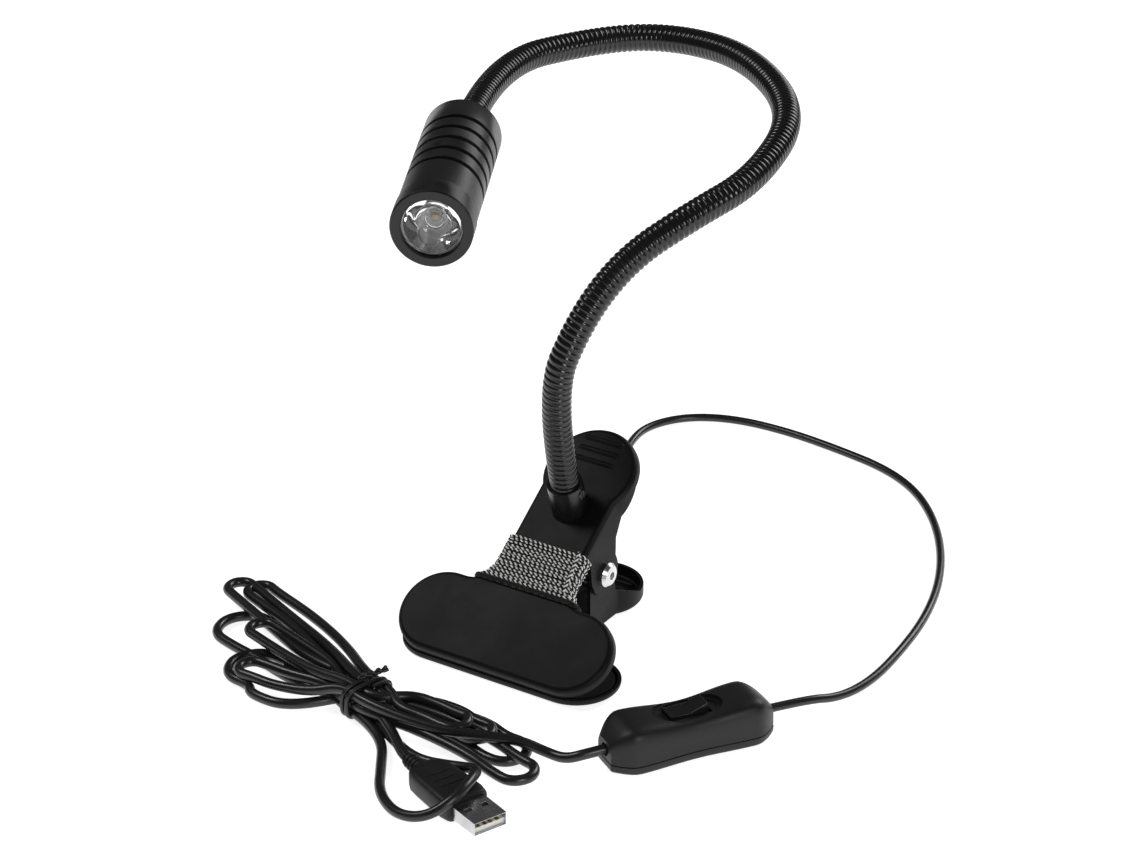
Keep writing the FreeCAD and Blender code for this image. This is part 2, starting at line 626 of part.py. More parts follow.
grommet_bore = rod("grommet_bore", "$lead_radius", "$grommet_lip + 4", at("0", "0", "-$grommet_lip - 1"))
keep(cut("grommet_ring", grommet_skin, grommet_bore), "cable_grommet", socket_place)

# ---- gooseneck ------------------------------------------------------------------------------
# The neck is a chain of short links, each with one gentle bend. Every link ends in a ball that
# sits in the next link's cup, and the lead inside is divided in the same way.


def middle(run):
    return (neck_route[run] + neck_route[run + 1]) * 0.5


def bend_at(corner):
    """The tangent arc at a corner of the route: where it starts, its middle and where it ends."""
    here = neck_route[corner]
    back, ahead = neck_route[corner - 1] - here, neck_route[corner + 1] - here
    trim = size("bend_share") * min(back.Length, ahead.Length)
    back.normalize()
    ahead.normalize()
    half_turn = (math.pi - back.getAngle(ahead)) / 2
    radius = trim / math.tan(half_turn)
    inward = (back + ahead).normalize()
    return (here + back * trim, here + inward * (radius / math.cos(half_turn) - radius),
            here + ahead * trim, radius)


def bent_run(name, start, corner, end, radius):
    """A round bar from start to end, round one corner of the route."""
    first, top, last, _ = bend_at(corner)
    spine = doc.addObject("Part::Feature", name + "_spine")
    spine.Shape = Part.Wire([Part.LineSegment(start, first).toShape(), Part.Arc(first, top, last).toShape(),
                             Part.LineSegment(last, end).toShape()])
    ring = doc.addObject("Part::Circle", name + "_ring")
    bind(ring, "Radius", radius)
    ring.Placement = Placement(start, spun(first - start))
    sweep = doc.addObject("Part::Sweep", name)
    sweep.Sections = [ring]
    sweep.Spine = (spine, ["Edge1", "Edge2", "Edge3"])
    sweep.Solid = True
    sweep.Frenet = False
    return sweep


last_link = len(neck_route) - 3
for link in range(last_link + 1):
    start = foot + neck_axis * size("neck_foot") if link == 0 else middle(link)
    end = middle(link + 1) if link < last_link else neck_route[-1] + head_axis * (size("socket_depth") - 1)
    name = f"link_{link}"
    tube = bent_run(name + "_bar", start, link + 1, end, "$neck_radius")
    onward = (neck_route[link + 2] - end).normalize() if link < last_link else Vector()
    bore = bent_run(name + "_bore", start, link + 1, end + onward * 2 * size("neck_radius"), "$neck_bore")
    if link < last_link:
        tube = fuse(name + "_domed", tube, ball(name + "_dome", "$neck_radius", end, onward))
        mouth = rod(name + "_mouth", "$neck_bore + $mouth_flare", "2 * $neck_radius", at())
        mouth.Placement = Placement(end + onward * 0.4 * size("neck_radius"), spun(onward))
        bore = fuse(name + "_bored", bore, mouth)
    tools = [bore]
    if link > 0:
        tools.append(ball(name + "_cup", "$neck_radius + $joint_gap", start, start - neck_route[link]))
    keep(cut(name + "_tube", tube, *tools), f"neck_link_{link}", Placement())
    core_start = foot if link == 0 else start
    core_end = end if link < last_link else (
        neck_route[-1] + head_axis * (size("head_length") - size("cavity_depth")))
    core = bent_run(name + "_core_bar", core_start, link + 1, core_end, "$wire_core")
    if link < last_link:
        core = fuse(name + "_core_domed", core, ball(name + "_core_dome", "$wire_core", core_end, onward))
    if link > 0:
        core = cut(name + "_core_cupped", core,
                   ball(name + "_core_cup", "$wire_core + $joint_gap", start, start - neck_route[link]))
    keep(core, f"neck_lead_{link}", Placement())

# ---- lamp head ------------------------------------------------------------------------------
# A turned aluminium body with five cooling grooves. The LED board sits on the floor of its front
# chamber, under a moulded lens in a three-legged holder, and a screwed ring holds the stack.
head_place = Placement(neck_route[-1], spun(head_axis))
body_end = "($head_length - $bezel_length)"
chamber = "($head_length - $cavity_depth)"
section = [("$neck_radius + $neck_fit", "0"), ("$head_radius - $head_chamfer", "0"),
           ("$head_radius", "$head_chamfer")]
for number in reversed(range(int(size("groove_count")))):
    centre = f"($head_length - $groove_first - {number} * $groove_pitch)"
    low, high = f"{centre} - $groove_width / 2", f"{centre} + $groove_width / 2"
    deep = "$head_radius - $groove_depth"
    section += [("$head_radius", low), (deep, low), (deep, high), ("$head_radius", high)]
section += [("$head_radius", body_end), ("$spigot_radius", body_end),
            ("$spigot_radius", f"{body_end} + $spigot_length"),
            ("$cavity_radius", f"{body_end} + $spigot_length"), ("$cavity_radius", chamber),
            ("$wire_bore", chamber), ("$wire_bore", "$socket_depth"),
            ("$neck_radius + $neck_fit", "$socket_depth")]
keep(turned("head_turning", section), "head_body", head_place)
lip = "($head_length - $bezel_lip)"
inside = "($spigot_radius + $thread_play)"
keep(turned("bezel_turning", [
    (inside, body_end), ("$bezel_radius", body_end), ("$bezel_radius", "$head_length - 0.5"),
    ("$bezel_radius - 0.5", "$head_length"), ("$window_radius + 0.5", "$head_length"),
    ("$window_radius", "$head_length - 0.5"), ("$window_radius", lip), (inside, lip)]),
    "front_ring", head_place)
board_face = f"({chamber} + $board_wall)"
keep(turned("board_disc", [
    ("0", chamber), ("$cavity_radius - $board_edge", chamber), ("$cavity_radius - $board_edge", board_face),
    ("0", board_face)]), "led_board", head_place)
chip_top = f"({board_face} + $chip_height)"
keep(turned("chip_dome", [
    ("0", board_face), ("$chip_radius", board_face), ("$chip_radius", chip_top), ("$dome_radius", chip_top),
    ("$dome_radius", f"{chip_top} + 0.36 * $dome_height"),
    ("0.7 * $dome_radius", f"{chip_top} + 0.82 * $dome_height"),
    ("0", f"{chip_top} + $dome_height")]), "led_chip", head_place)
lens_top = f"({lip} - 0.1)"
lens_low = f"({board_face} + $lens_stand)"
keep(turned("lens_moulding", [
    ("0.75 * $lens_foot", lens_low), ("$lens_foot", lens_low),
    ("0.75 * $lens_radius", f"({lens_low} + {lens_top}) / 2"),
    ("$lens_radius - $holder_wall - 0.2", f"{lens_top} - $lens_rim"),
    ("$lens_radius", f"{lens_top} - $lens_rim"),
    ("$lens_radius", lens_top), ("0", lens_top), ("0", f"{lens_low} + 2"),
    ("0.75 * $lens_foot", f"{lens_low} + 1.4")]), "lens", head_place)
holder_top = f"({lens_top} - $lens_rim - 0.05)"
ring_in = "$lens_radius - $holder_wall"
holder_parts = [turned("holder_ring", [
    (ring_in, f"{holder_top} - $holder_ring"), ("$lens_radius", f"{holder_top} - $holder_ring"),
    ("$lens_radius", holder_top), (ring_in, holder_top)]),
    turned("holder_base", [("$chip_radius + 0.2", board_face), ("$lens_foot + 0.6", board_face),
                           ("$lens_foot + 0.6", f"{board_face} + $holder_foot"),
                           ("$chip_radius + 0.2", f"{board_face} + $holder_foot")])]
for number in range(3):
    foot_bar = box(f"holder_foot_{number}", "$leg_width", "$lens_radius - $lens_foot - 0.2", "$holder_foot",
                   at("0", "$lens_foot", board_face))
    post = box(f"holder_post_{number}", "$leg_width", "$holder_wall",
               f"{holder_top} - {board_face} - 0.5", at("0", "$lens_radius - $holder_wall - 0.2", board_face))
    leg = fuse(f"holder_leg_{number}", foot_bar, post)
    leg.Placement = Placement(Vector(), Rotation(Vector(0, 0, 1), 120 * number))
    holder_parts.append(leg)
keep(fuse("holder_moulding", *holder_parts), "lens_holder", head_place)

# ---- inline switch --------------------------------------------------------------------------
# Two shells screwed together from below, with a waist and a hollow top. The frame of the switch
# has X along the cord and its origin on the table under its middle.
switch_centre = Vector(76.5, -29.2, 0)
switch_along = Vector(0.53, 0.848, 0).normalize()
switch_place = Placement(switch_centre, Rotation(Vector(1, 0, 0), switch_along))
half = "$switch_length / 2"
plan = [(f"-{half}", "-$switch_nose / 2"), ("-$switch_shoulder", "-$switch_width / 2"),
        ("-$switch_shoulder / 2", "-$switch_width / 4 - $switch_waist / 4"), ("0", "-$switch_waist / 2"),
        ("$switch_shoulder / 2", "-$switch_width / 4 - $switch_waist / 4"),
        ("$switch_shoulder", "-$switch_width / 2"), (half, "-$switch_nose / 2"), (half, "$switch_nose / 2"),
        ("$switch_shoulder", "$switch_width / 2"),
        ("$switch_shoulder / 2", "$switch_width / 4 + $switch_waist / 4"), ("0", "$switch_waist / 2"),
        ("-$switch_shoulder / 2", "$switch_width / 4 + $switch_waist / 4"),
        ("-$switch_shoulder", "$switch_width / 2"), (f"-{half}", "$switch_nose / 2")]
cover_plan = padded("switch_cover_plan", "XY_Plane", plan, "$switch_height", middle=False)
cover_side = padded("switch_cover_side", "XZ_Plane", [
    (f"-{half}", "$switch_seam"), (half, "$switch_seam"), (half, "0.62 * $switch_height"),
    ("$switch_shoulder + 2", "$switch_height"),
    ("$switch_shoulder / 2", "$switch_height - 0.7 * $switch_dip"),
    ("0", "$switch_height - $switch_dip"), ("-$switch_shoulder / 2", "$switch_height - 0.7 * $switch_dip"),
    ("-$switch_shoulder - 2", "$switch_height"), (f"-{half}", "0.62 * $switch_height")], "2 * $switch_width")
cover_block = common("switch_cover_block", cover_plan, cover_side)
top_level = "($switch_height - $switch_dip)"
room = f"({top_level} - $switch_wall)"
hollow = box("switch_hollow", "2 * $switch_shoulder", "$switch_waist - 2 * $switch_wall", room,
             at("0", "$switch_wall - $switch_waist / 2"))
slot = box("switch_slot", "$slot_length", "$slot_width", "$switch_height",
           at("0", "-$slot_width / 2", "$switch_seam"))
dish = rod("switch_dish", "0.75 * $slot_length", "5", at("0", "0", f"{top_level} - 0.7"))
entry_lead = rod("switch_entry_lead", "$lead_radius + 0.05", "$switch_length",
                 at("0", "0", "$cord_height"), ALONG_X)
entry_usb = rod("switch_entry_usb", "$usb_cord_radius + 0.05", "$switch_length",
                at("-$switch_length", "0", "$cord_height"), ALONG_X)
dish_band = box("switch_dish_band", "2 * $slot_length", "2 * $slot_width", "$switch_height",
                at("0", "-$slot_width"))
cover_shell = cut("switch_cover_shell", cover_block, hollow, slot,
                  common("switch_dish_oval", dish, dish_band), entry_lead, entry_usb)
across_y = Rotation(Vector(1, 0, 0), -90)
screw_sides = [(number, f"{sign}$screw_ahead", f"{sign}$screw_aside")
               for number, sign in enumerate(("-", ""))]
bearings = []
for number, sign in enumerate(("-", "")):
    bearings.append(box(f"switch_bearing_{number}", "$bearing_length", "$bearing_wall",
                        f"{top_level} - 0.5 - $rocker_axis + 2 * $rocker_pin",
                        at("0", f"{sign}($slot_width + $bearing_wall) / 2 - $bearing_wall / 2",
                           "$rocker_axis - 2 * $rocker_pin")))
for number, ahead, aside in screw_sides:
    bearings.append(rod(f"switch_boss_{number}", "$screw_radius + $boss_wall", f"{room} - $switch_seam + 1",
                        at(ahead, aside, "$switch_seam")))
trunnion_bore = rod("switch_trunnion_bore", "$rocker_pin + $pin_play", "$slot_width + 8",
                    at("0", "-$slot_width / 2 - 4", "$rocker_axis"), across_y)
pilot_depth = "$screw_cap_height + $screw_length + 1"
pilots = [rod(f"switch_pilot_{number}", "$screw_radius", pilot_depth, at(ahead, aside))
          for number, ahead, aside in screw_sides]
keep(cut("switch_cover_cut", fuse("switch_cover_body", cover_shell, *bearings), trunnion_bore, *pilots),
     "switch_cover", switch_place)
base_block = padded("switch_base_plan", "XY_Plane", plan, "$switch_seam", middle=False)
base_edges = rounded("switch_base_eased", base_block, 1.0,
                     lambda edge: edge.BoundBox.ZMax < 1e-6 and edge.Length > 5)
base_hollow = box("switch_base_hollow", "1.9 * $switch_shoulder", "$switch_waist - 2 * $switch_wall",
                  "$switch_seam", at("0", "$switch_wall - $switch_waist / 2", "$switch_wall"))
base_posts = []
base_holes = []
fasteners = []
for number, ahead, aside in screw_sides:
    base_posts.append(rod(f"switch_post_{number}", "$screw_radius + $boss_wall", "$switch_seam / 2",
                          at(ahead, aside, "$switch_seam / 2")))
    base_holes += [
        rod(f"switch_head_seat_{number}", "$screw_cap", "$screw_sunk + $screw_cap_height", at(ahead, aside)),
        rod(f"switch_base_pilot_{number}", "$screw_radius", pilot_depth, at(ahead, aside))]
    fasteners += [
        rod(f"switch_screw_cap_{number}", "$screw_cap", "$screw_cap_height", at(ahead, aside, "$screw_sunk")),
        rod(f"switch_screw_{number}", "$screw_radius", "$screw_cap_height + $screw_length",
            at(ahead, aside, "$screw_sunk"))]
shell_base = cut("switch_base_shell", base_edges, base_hollow)
keep(cut("switch_base_cut", fuse("switch_base_body", shell_base, *base_posts), *base_holes),
     "switch_base", switch_place)
keep(fuse("switch_screw_pair", *fasteners), "switch_screws", switch_place)
strips = []
for number, sign in enumerate(("-", "")):
    tab_ahead = f"{sign}($terminal_ahead + $terminal_length / 2 - $terminal_wall / 2)"
    strips.append(box(f"switch_strip_{number}", "$terminal_length", "$terminal_width", "$terminal_wall",
                      at(f"{sign}$terminal_ahead", "-$terminal_width / 2", "$switch_wall")))
    strips.append(box(f"switch_strip_tab_{number}", "$terminal_wall", "$terminal_width", "$terminal_tab",
                      at(tab_ahead, "-$terminal_width / 2", "$switch_wall")))
keep(fuse("switch_strip_pair", *strips), "switch_terminals", switch_place)

# The rocker is drawn level about its trunnions and rests with its far end up.
rocker_level = f"({top_level} - $rocker_axis)"
rocker_long = "($slot_length / 2 - $rocker_play)"
rocker_slab = padded("rocker_slab", "XZ_Plane", [
    (f"-0.55 * {rocker_long}", "-$rocker_depth"), (f"0.55 * {rocker_long}", "-$rocker_depth"),
    (f"{rocker_long} - 0.5", "0.4"), (f"{rocker_long} - 0.5", f"{rocker_level} + $rocker_crown"),
    ("0", f"{rocker_level} + 0.2"), (f"0.5 - {rocker_long}", f"{rocker_level} + $rocker_crown"),
    (f"0.5 - {rocker_long}", "0.4")],
    "$slot_width - 2 * $rocker_play")
trunnion = rod("rocker_trunnion", "$rocker_pin", "$slot_width + 3",
               at("0", "-($slot_width + 3) / 2"), across_y)
rocker_place = switch_place.multiply(Placement(
    Vector(0, 0, size("rocker_axis")), Rotation(Vector(0, 1, 0), -size("rocker_tilt"))))
keep(fuse("rocker_moulding", rocker_slab, trunnion), "rocker", rocker_place)
bridge_low = "-$rocker_depth - $bridge_wall"
keep(padded("bridge_strip", "XZ_Plane", [
    ("-$bridge_length / 2", bridge_low), ("$bridge_length / 2", bridge_low),
    ("$bridge_length / 2", "-$rocker_depth"), ("-$bridge_length / 2", "-$rocker_depth")],
    "$bridge_width"), "contact_bridge", rocker_place)


# ---- cords ----------------------------------------------------------------------------------
def rounded_route(name, points):
    """A wire of straight runs joined by tangent arcs as large as the runs allow."""
    share = 0.45
    edges = []
    here = points[0]
    radii = []
    for back_point, corner, next_point in zip(points, points[1:], points[2:]):
        back, ahead = back_point - corner, next_point - corner
        trim = share * min(back.Length, ahead.Length)
        back.normalize()
        ahead.normalize()
        half_turn = (math.pi - back.getAngle(ahead)) / 2
        radius = trim / math.tan(half_turn)
        first, last = corner + back * trim, corner + ahead * trim
        top = corner + (back + ahead).normalize() * (radius / math.cos(half_turn) - radius)
        edges += [Part.LineSegment(here, first).toShape(), Part.Arc(first, top, last).toShape()]
        here = last
        radii.append(radius)
    edges.append(Part.LineSegment(here, points[-1]).toShape())
    wire = Part.Wire(edges)
    print(name, "length", round(wire.Length, 1), "radii", [round(r, 1) for r in radii])
    return wire


def cord(label, points, radius):
    spine = doc.addObject("Part::Feature", label + "_spine")
    spine.Shape = rounded_route(label, points)
    ring = doc.addObject("Part::Circle", label + "_ring")
    bind(ring, "Radius", radius)
    ring.Placement = Placement(points[0], spun(points[1] - points[0]))
    sweep = doc.addObject("Part::Sweep", label + "_sweep")
    sweep.Sections = [ring]
    sweep.Spine = (spine, [f"Edge{n}" for n in range(1, len(spine.Shape.Edges) + 1)])
    sweep.Solid = True
    sweep.Frenet = False
    doc.recompute()
    due = math.pi * worked_out(radius) ** 2 * spine.Shape.Length
    if abs(sweep.Shape.Volume / due - 1) > 0.01:
        raise RuntimeError(f"{label}: volume {sweep.Shape.Volume:.0f}, expected {due:.0f}")
    return keep(sweep, label, Placement())


def in_switch(x, z="cord_height"):
    return switch_place.multVec(Vector(x, 0, size(z)))


# From the foot of the neck the lead turns back under the lever, leaves behind it, drops to the
# table and comes round to the far end of the switch.
grip_end = size("switch_length") / 2 - size("cord_grip")
lead_route = [
    foot, foot - neck_axis * 15, Vector(0, 32.3, 22.4), Vector(0, 42.3, 22.4), Vector(-1, 54.6, 31),
    Vector(-7, 67, 35.5), Vector(-17, 83, 29), Vector(-27, 98, 17), Vector(-36, 112, 7),
    Vector(-45, 126, 1.6), Vector(-52, 141, 1.6), Vector(-54, 157, 1.6), Vector(-45.5, 172, 1.6),
    Vector(-29, 180.5, 1.6), Vector(-6, 182, 1.6), Vector(18, 179, 1.6), Vector(38.5, 175, 1.6),
    Vector(56, 166, 1.6), Vector(72, 150, 1.6), Vector(86, 129.5, 1.6), Vector(97, 106, 1.6),
    Vector(103.8, 82, 1.6), Vector(107, 58, 1.6), Vector(108, 37, 1.6), Vector(105, 20.5, 2.4),
    in_switch(size("switch_length") / 2 + 14, "cord_height"), in_switch(grip_end)]
cord("lead_cord", lead_route, "$lead_radius")

# The USB cord leaves the near end of the switch and runs along the table into the hank.
hank_mouth = 36.5
usb_route = [in_switch(-grip_end), in_switch(-size("switch_length") / 2 - 6), Vector(51.5, -61.6, 3.6),
             Vector(44, -61.2, 2.1), Vector(hank_mouth, -61.2, 2.1)]
cord("usb_cord", usb_route, "$usb_cord_radius")

# ---- hank -----------------------------------------------------------------------------------
# The spare cord is folded into long loops, fanned out at both ends and bound at its waist. The outline
# has one side where the cord comes in, at the hank's mouth, and one where it goes out to the plug.
plug_along = Vector(0.932, -0.364, 0).normalize()
plug_place = Placement(Vector(41.5, -101.5, 0), Rotation(Vector(1, 0, 0), plug_along))
hank_waist = Vector(-21, -69, 0)
hank_along = Vector(0.95, -0.31, 0).normalize()
tie_place = Placement(hank_waist, Rotation(Vector(1, 0, 0), hank_along))
tail_end = plug_place.multVec(Vector(-size("plug_length") - size("relief_length") - 6.5, 0, 0))
tail_side = plug_place.Rotation.multVec(Vector(0, 1, 0)) * 4
tail_face = [(tail_end + tail_side * sign) for sign in (1, -1)]
hank_outline = [
    (-105, -37), (-104, -30), (-96, -27.5), (-84, -34), (-60, -48), (-38, -57), (-22, -61), (-12, -54),
    (-2, -48), (13, -46.5), (26, -50), (hank_mouth, -57), (hank_mouth, -65), (49, -76), (50, -84.5),
    (35, -85), (14, -80), *[(corner.x, corner.y) for corner in tail_face], (4.5, -97), (14, -102.5),
    (24, -106.5), (27, -112.5), (14, -112), (2, -104), (-6, -94), (-12, -83), (-24, -80), (-38, -85),
    (-55, -85), (-69, -80), (-77, -71), (-86, -60), (-99, -57), (-100, -44)]
hank_block = padded("hank_block", "XY_Plane", [(str(x), str(y)) for x, y in hank_outline], "$hank_height",
                    middle=False)
tie_skin = box("tie_skin", "$tie_width", "$tie_span", "$hank_height", at("0", "-$tie_span / 2"))
tie_hole = box("tie_hole", "2 * $tie_width", "$tie_span - 2 * $tie_wall", "$hank_height - 2 * $tie_wall",
               at("0", "$tie_wall - $tie_span / 2", "$tie_wall"))
tie_room = box("tie_room", "$tie_width + 0.2", "3 * $tie_span", "3 * $hank_height",
               at("0", "-1.5 * $tie_span", "-$hank_height"))
tie_core = box("tie_core", "2 * $tie_width", "$tie_span - 2 * $tie_wall - 2 * $tie_slack",
               "$hank_height - 2 * $tie_wall - 2 * $tie_slack",
               at("0", "$tie_wall + $tie_slack - $tie_span / 2", "$tie_wall + $tie_slack"))
groove = cut("tie_groove", tie_room, tie_core)
groove.Placement = tie_place
keep(cut("hank_solid", hank_block, groove), "cord_hank", Placement())
keep(cut("tie_band", tie_skin, tie_hole), "hank_tie", tie_place)

# ---- USB plug -------------------------------------------------------------------------------
# The plug lies flat on the table. Its frame has X towards the tip, from the front of the grip.
grip_plan = padded("plug_plan", "XY_Plane", [
    ("-$plug_length", "-0.3 * $plug_width"), ("4 - $plug_length", "-0.44 * $plug_width"),
    ("-4", "-0.5 * $plug_width"), ("0", "-0.45 * $plug_width"), ("0", "0.45 * $plug_width"),
    ("-4", "0.5 * $plug_width"), ("4 - $plug_length", "0.44 * $plug_width"),
    ("-$plug_length", "0.3 * $plug_width")], "$plug_height", middle=False)
relief = doc.addObject("Part::Cone", "plug_relief")
bind(relief, "Radius1", "$relief_radius")
bind(relief, "Radius2", "$usb_cord_radius + 0.6")
bind(relief, "Height", "$relief_length")
relief.Placement = Placement(Vector(), Rotation(Vector(0, 1, 0), -90))
put(relief, at("-$plug_length", "0", "$plug_height / 2"))
cord_way = rod("plug_cord_way", "$usb_cord_radius", "$relief_length + 6",
               at("-$plug_length - $relief_length - 1", "0", "$plug_height / 2"), ALONG_X)
shell_low = "($plug_height - $shell_height) / 2"
shell_room = box("plug_shell_room", "$shell_seat", "$shell_width", "$shell_height",
                 at("-$shell_seat / 2", "-$shell_width / 2", shell_low))
grip_block = fuse("plug_grip_block", grip_plan, relief)
keep(cut("plug_moulding", grip_block, cord_way, shell_room), "plug_grip", plug_place)
shell_middle = "(($shell_length - $shell_seat) / 2)"
shell_skin = box("shell_skin", "$shell_length + $shell_seat", "$shell_width", "$shell_height",
                 at(shell_middle, "-$shell_width / 2", shell_low))
shell_hollow = box("shell_hollow", "$shell_length + $shell_seat + 2", "$shell_width - 2 * $shell_wall",
                   "$shell_height - 2 * $shell_wall",
                   at(shell_middle, "$shell_wall - $shell_width / 2", f"{shell_low} + $shell_wall"))
windows = [box(f"shell_window_{number}", "$window_length", "$window_width", "2 * $plug_height",
               at("$window_along", f"{sign}$window_aside - $window_width / 2", "-$plug_height / 2"))
           for number, sign in enumerate(("-", ""))]
keep(cut("shell_folding", shell_skin, shell_hollow, *windows), "usb_shell", plug_place)
tongue_low = f"({shell_low} + $shell_wall)"
tongue = box("tongue_block", "$shell_length + $shell_seat - 1", "$shell_width - 2 * $shell_wall",
             "$tongue_height", at(f"{shell_middle} - 0.5", "$shell_wall - $shell_width / 2", tongue_low))


def contact_blades(name):
    """Four blades along the top of the carrier, two of them set wider apart than the inner two."""
    low = f"{tongue_low} + $tongue_height - $contact_sunk"
    return [box(f"{name}_{number}", "$contact_length", "$contact_width", "$contact_wall",
                at("$contact_along", f"{side} - $contact_width / 2", low))
            for number, side in enumerate(("-$contact_outer", "-$contact_inner", "$contact_inner",
                                           "$contact_outer"))]


keep(cut("tongue_moulding", tongue, *contact_blades("tongue_way")), "usb_tongue", plug_place)
contacts = doc.addObject("Part::Compound", "contact_set")
contacts.Links = contact_blades("contact")
keep(contacts, "usb_contacts", plug_place)

# The last of the cord, from the hank to the plug's strain relief.
tail_height = Vector(0, 0, size("plug_height") / 2)
tail_start = plug_place.multVec(Vector(-size("plug_length") - size("relief_length") / 2, 0, 0))
tail_route = [tail_start + tail_height, tail_end + tail_height]
cord("cord_tail", tail_route, "$usb_cord_radius")

# ---- checks and files -----------------------------------------------------------------------
doc.recompute()
for thing in doc.Objects:
    if "Invalid" in thing.State or "Error" in thing.State:
        raise RuntimeError(f"{thing.Label}: {thing.State}")
labels = [thing.Label for thing in kept]
if len(set(labels)) != len(labels):
    raise RuntimeError("two sub-parts share a label")
for thing in kept:
    shape = thing.Shape
    if shape.isNull() or not shape.isValid() or not shape.Solids or shape.Volume <= 0:
        raise RuntimeError(f"{thing.Label}: bad shape")
os.makedirs("parts", exist_ok=True)
for thing in kept:
    thing.Shape.exportStep(f"parts/{thing.Label}.step")
    print(thing.Label, len(thing.Shape.Solids), round(thing.Shape.Volume, 1))
print("closed angle", round(closed, 2), "sub-parts", len(kept))
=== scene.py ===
import json
import math
import random
import bpy
import bmesh
from mathutils import Matrix, Vector


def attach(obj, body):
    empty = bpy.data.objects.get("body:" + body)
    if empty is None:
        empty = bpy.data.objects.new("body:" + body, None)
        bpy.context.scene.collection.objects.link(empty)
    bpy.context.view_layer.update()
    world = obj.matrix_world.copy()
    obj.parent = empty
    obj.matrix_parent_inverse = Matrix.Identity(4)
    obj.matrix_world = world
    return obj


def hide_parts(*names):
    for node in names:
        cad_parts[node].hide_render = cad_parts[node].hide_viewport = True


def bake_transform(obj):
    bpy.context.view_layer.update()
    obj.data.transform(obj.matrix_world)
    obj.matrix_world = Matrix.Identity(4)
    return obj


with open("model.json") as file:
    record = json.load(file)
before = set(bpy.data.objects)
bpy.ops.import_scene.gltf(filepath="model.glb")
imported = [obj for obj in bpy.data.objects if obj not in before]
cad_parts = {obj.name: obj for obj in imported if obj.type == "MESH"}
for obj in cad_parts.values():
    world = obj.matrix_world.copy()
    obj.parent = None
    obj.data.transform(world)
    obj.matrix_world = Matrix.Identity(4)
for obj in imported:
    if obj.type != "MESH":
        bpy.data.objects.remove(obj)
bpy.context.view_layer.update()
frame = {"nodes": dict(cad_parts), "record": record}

nodes = frame["nodes"]
MM = 0.001

# ---- camera -------------------------------------------------------------------------------------
# A long lens looks down on the lamp from its right front, far enough away that the near plug and the
# far end of the neck keep their true proportions.
camera_data = bpy.data.cameras.new("camera")
camera_data.sensor_width = 36
camera_data.lens = 107.4
camera_data.clip_end = 20
camera = bpy.data.objects.new("camera", camera_data)
bpy.context.scene.collection.objects.link(camera)
VIEW_AZIMUTH = math.radians(33)
VIEW_ELEVATION = math.radians(26.5)
camera_target = Vector((-79.46, 142.6, 0)) * MM
CAMERA_DISTANCE = 1.2954
toward_camera = Vector((math.sin(VIEW_AZIMUTH) * math.cos(VIEW_ELEVATION),
                        -math.cos(VIEW_AZIMUTH) * math.cos(VIEW_ELEVATION), math.sin(VIEW_ELEVATION)))
camera.location = camera_target + toward_camera * CAMERA_DISTANCE
camera.rotation_euler = (math.pi / 2 - VIEW_ELEVATION, 0, VIEW_AZIMUTH)
bpy.context.scene.camera = camera


# ---- cords --------------------------------------------------------------------------------------
# Round PVC leads: one from the gooseneck's foot, under the lever and behind the lamp, to the
# switch; one from the switch into the bound hank and on to the plug. Both lie on the table.
def feed(target, **sources):
    """Link or set a node's inputs by name, with _ for a space."""
    for label, source in sources.items():
        socket = target.inputs[label.replace("_", " ")]
        if isinstance(source, bpy.types.NodeSocket):
            target.id_data.links.new(source, socket)
        else:
            socket.default_value = source
    return target


def node(tree, kind, **values):
    """A new node. Names in small letters are its settings, and those with a capital its inputs."""
    made = tree.nodes.new(kind)
    for label, value in values.items():
        if label[0].islower():
            setattr(made, label, value)
    return feed(made, **{label: value for label, value in values.items() if label[0].isupper()})


def new_material(name, **values):
    material = bpy.data.materials.new(name)
    material.use_nodes = True
    shader = feed(material.node_tree.nodes["Principled BSDF"], **values)
    return material, material.node_tree, shader


def surface_group():
    """Handling marks shared by every moulded, coated or turned finish: mottled gloss and fine grain."""
    tree = bpy.data.node_groups.new("handled_surface", "ShaderNodeTree")
    for name, value in (("Grain Scale", 900.0), ("Smear Scale", 60.0), ("Low Roughness", 0.3),
                        ("High Roughness", 0.45)):
        tree.interface.new_socket(name, in_out="INPUT", socket_type="NodeSocketFloat").default_value = value
    for name, way, kind in (("Dark", "INPUT", "Color"), ("Light", "INPUT", "Color"),
                            ("Colour", "OUTPUT", "Color"), ("Roughness", "OUTPUT", "Float"),
                            ("Grain", "OUTPUT", "Float")):
        tree.interface.new_socket(name, in_out=way, socket_type="NodeSocket" + kind)
    given = node(tree, "NodeGroupInput").outputs
    place = node(tree, "ShaderNodeTexCoord").outputs["Object"]
    smear = node(tree, "ShaderNodeTexNoise", Vector=place, Scale=given["Smear Scale"], Detail=5.0,
                 Roughness=0.65, Distortion=0.4).outputs["Fac"]
    grain = node(tree, "ShaderNodeTexNoise", Vector=place, Scale=given["Grain Scale"], Detail=2.0,
                 Roughness=0.5)
    gloss = node(tree, "ShaderNodeMapRange", Value=smear, From_Min=0.35, From_Max=0.65,
                 To_Min=given["Low Roughness"], To_Max=given["High Roughness"])
    tint = node(tree, "ShaderNodeMix", data_type="RGBA", Factor=smear)
    tree.links.new(given["Dark"], tint.inputs[6])
    tree.links.new(given["Light"], tint.inputs[7])
    node(tree, "NodeGroupOutput", Colour=tint.outputs[2], Roughness=gloss.outputs["Result"],
         Grain=grain.outputs["Fac"])
    return tree


handled = surface_group()


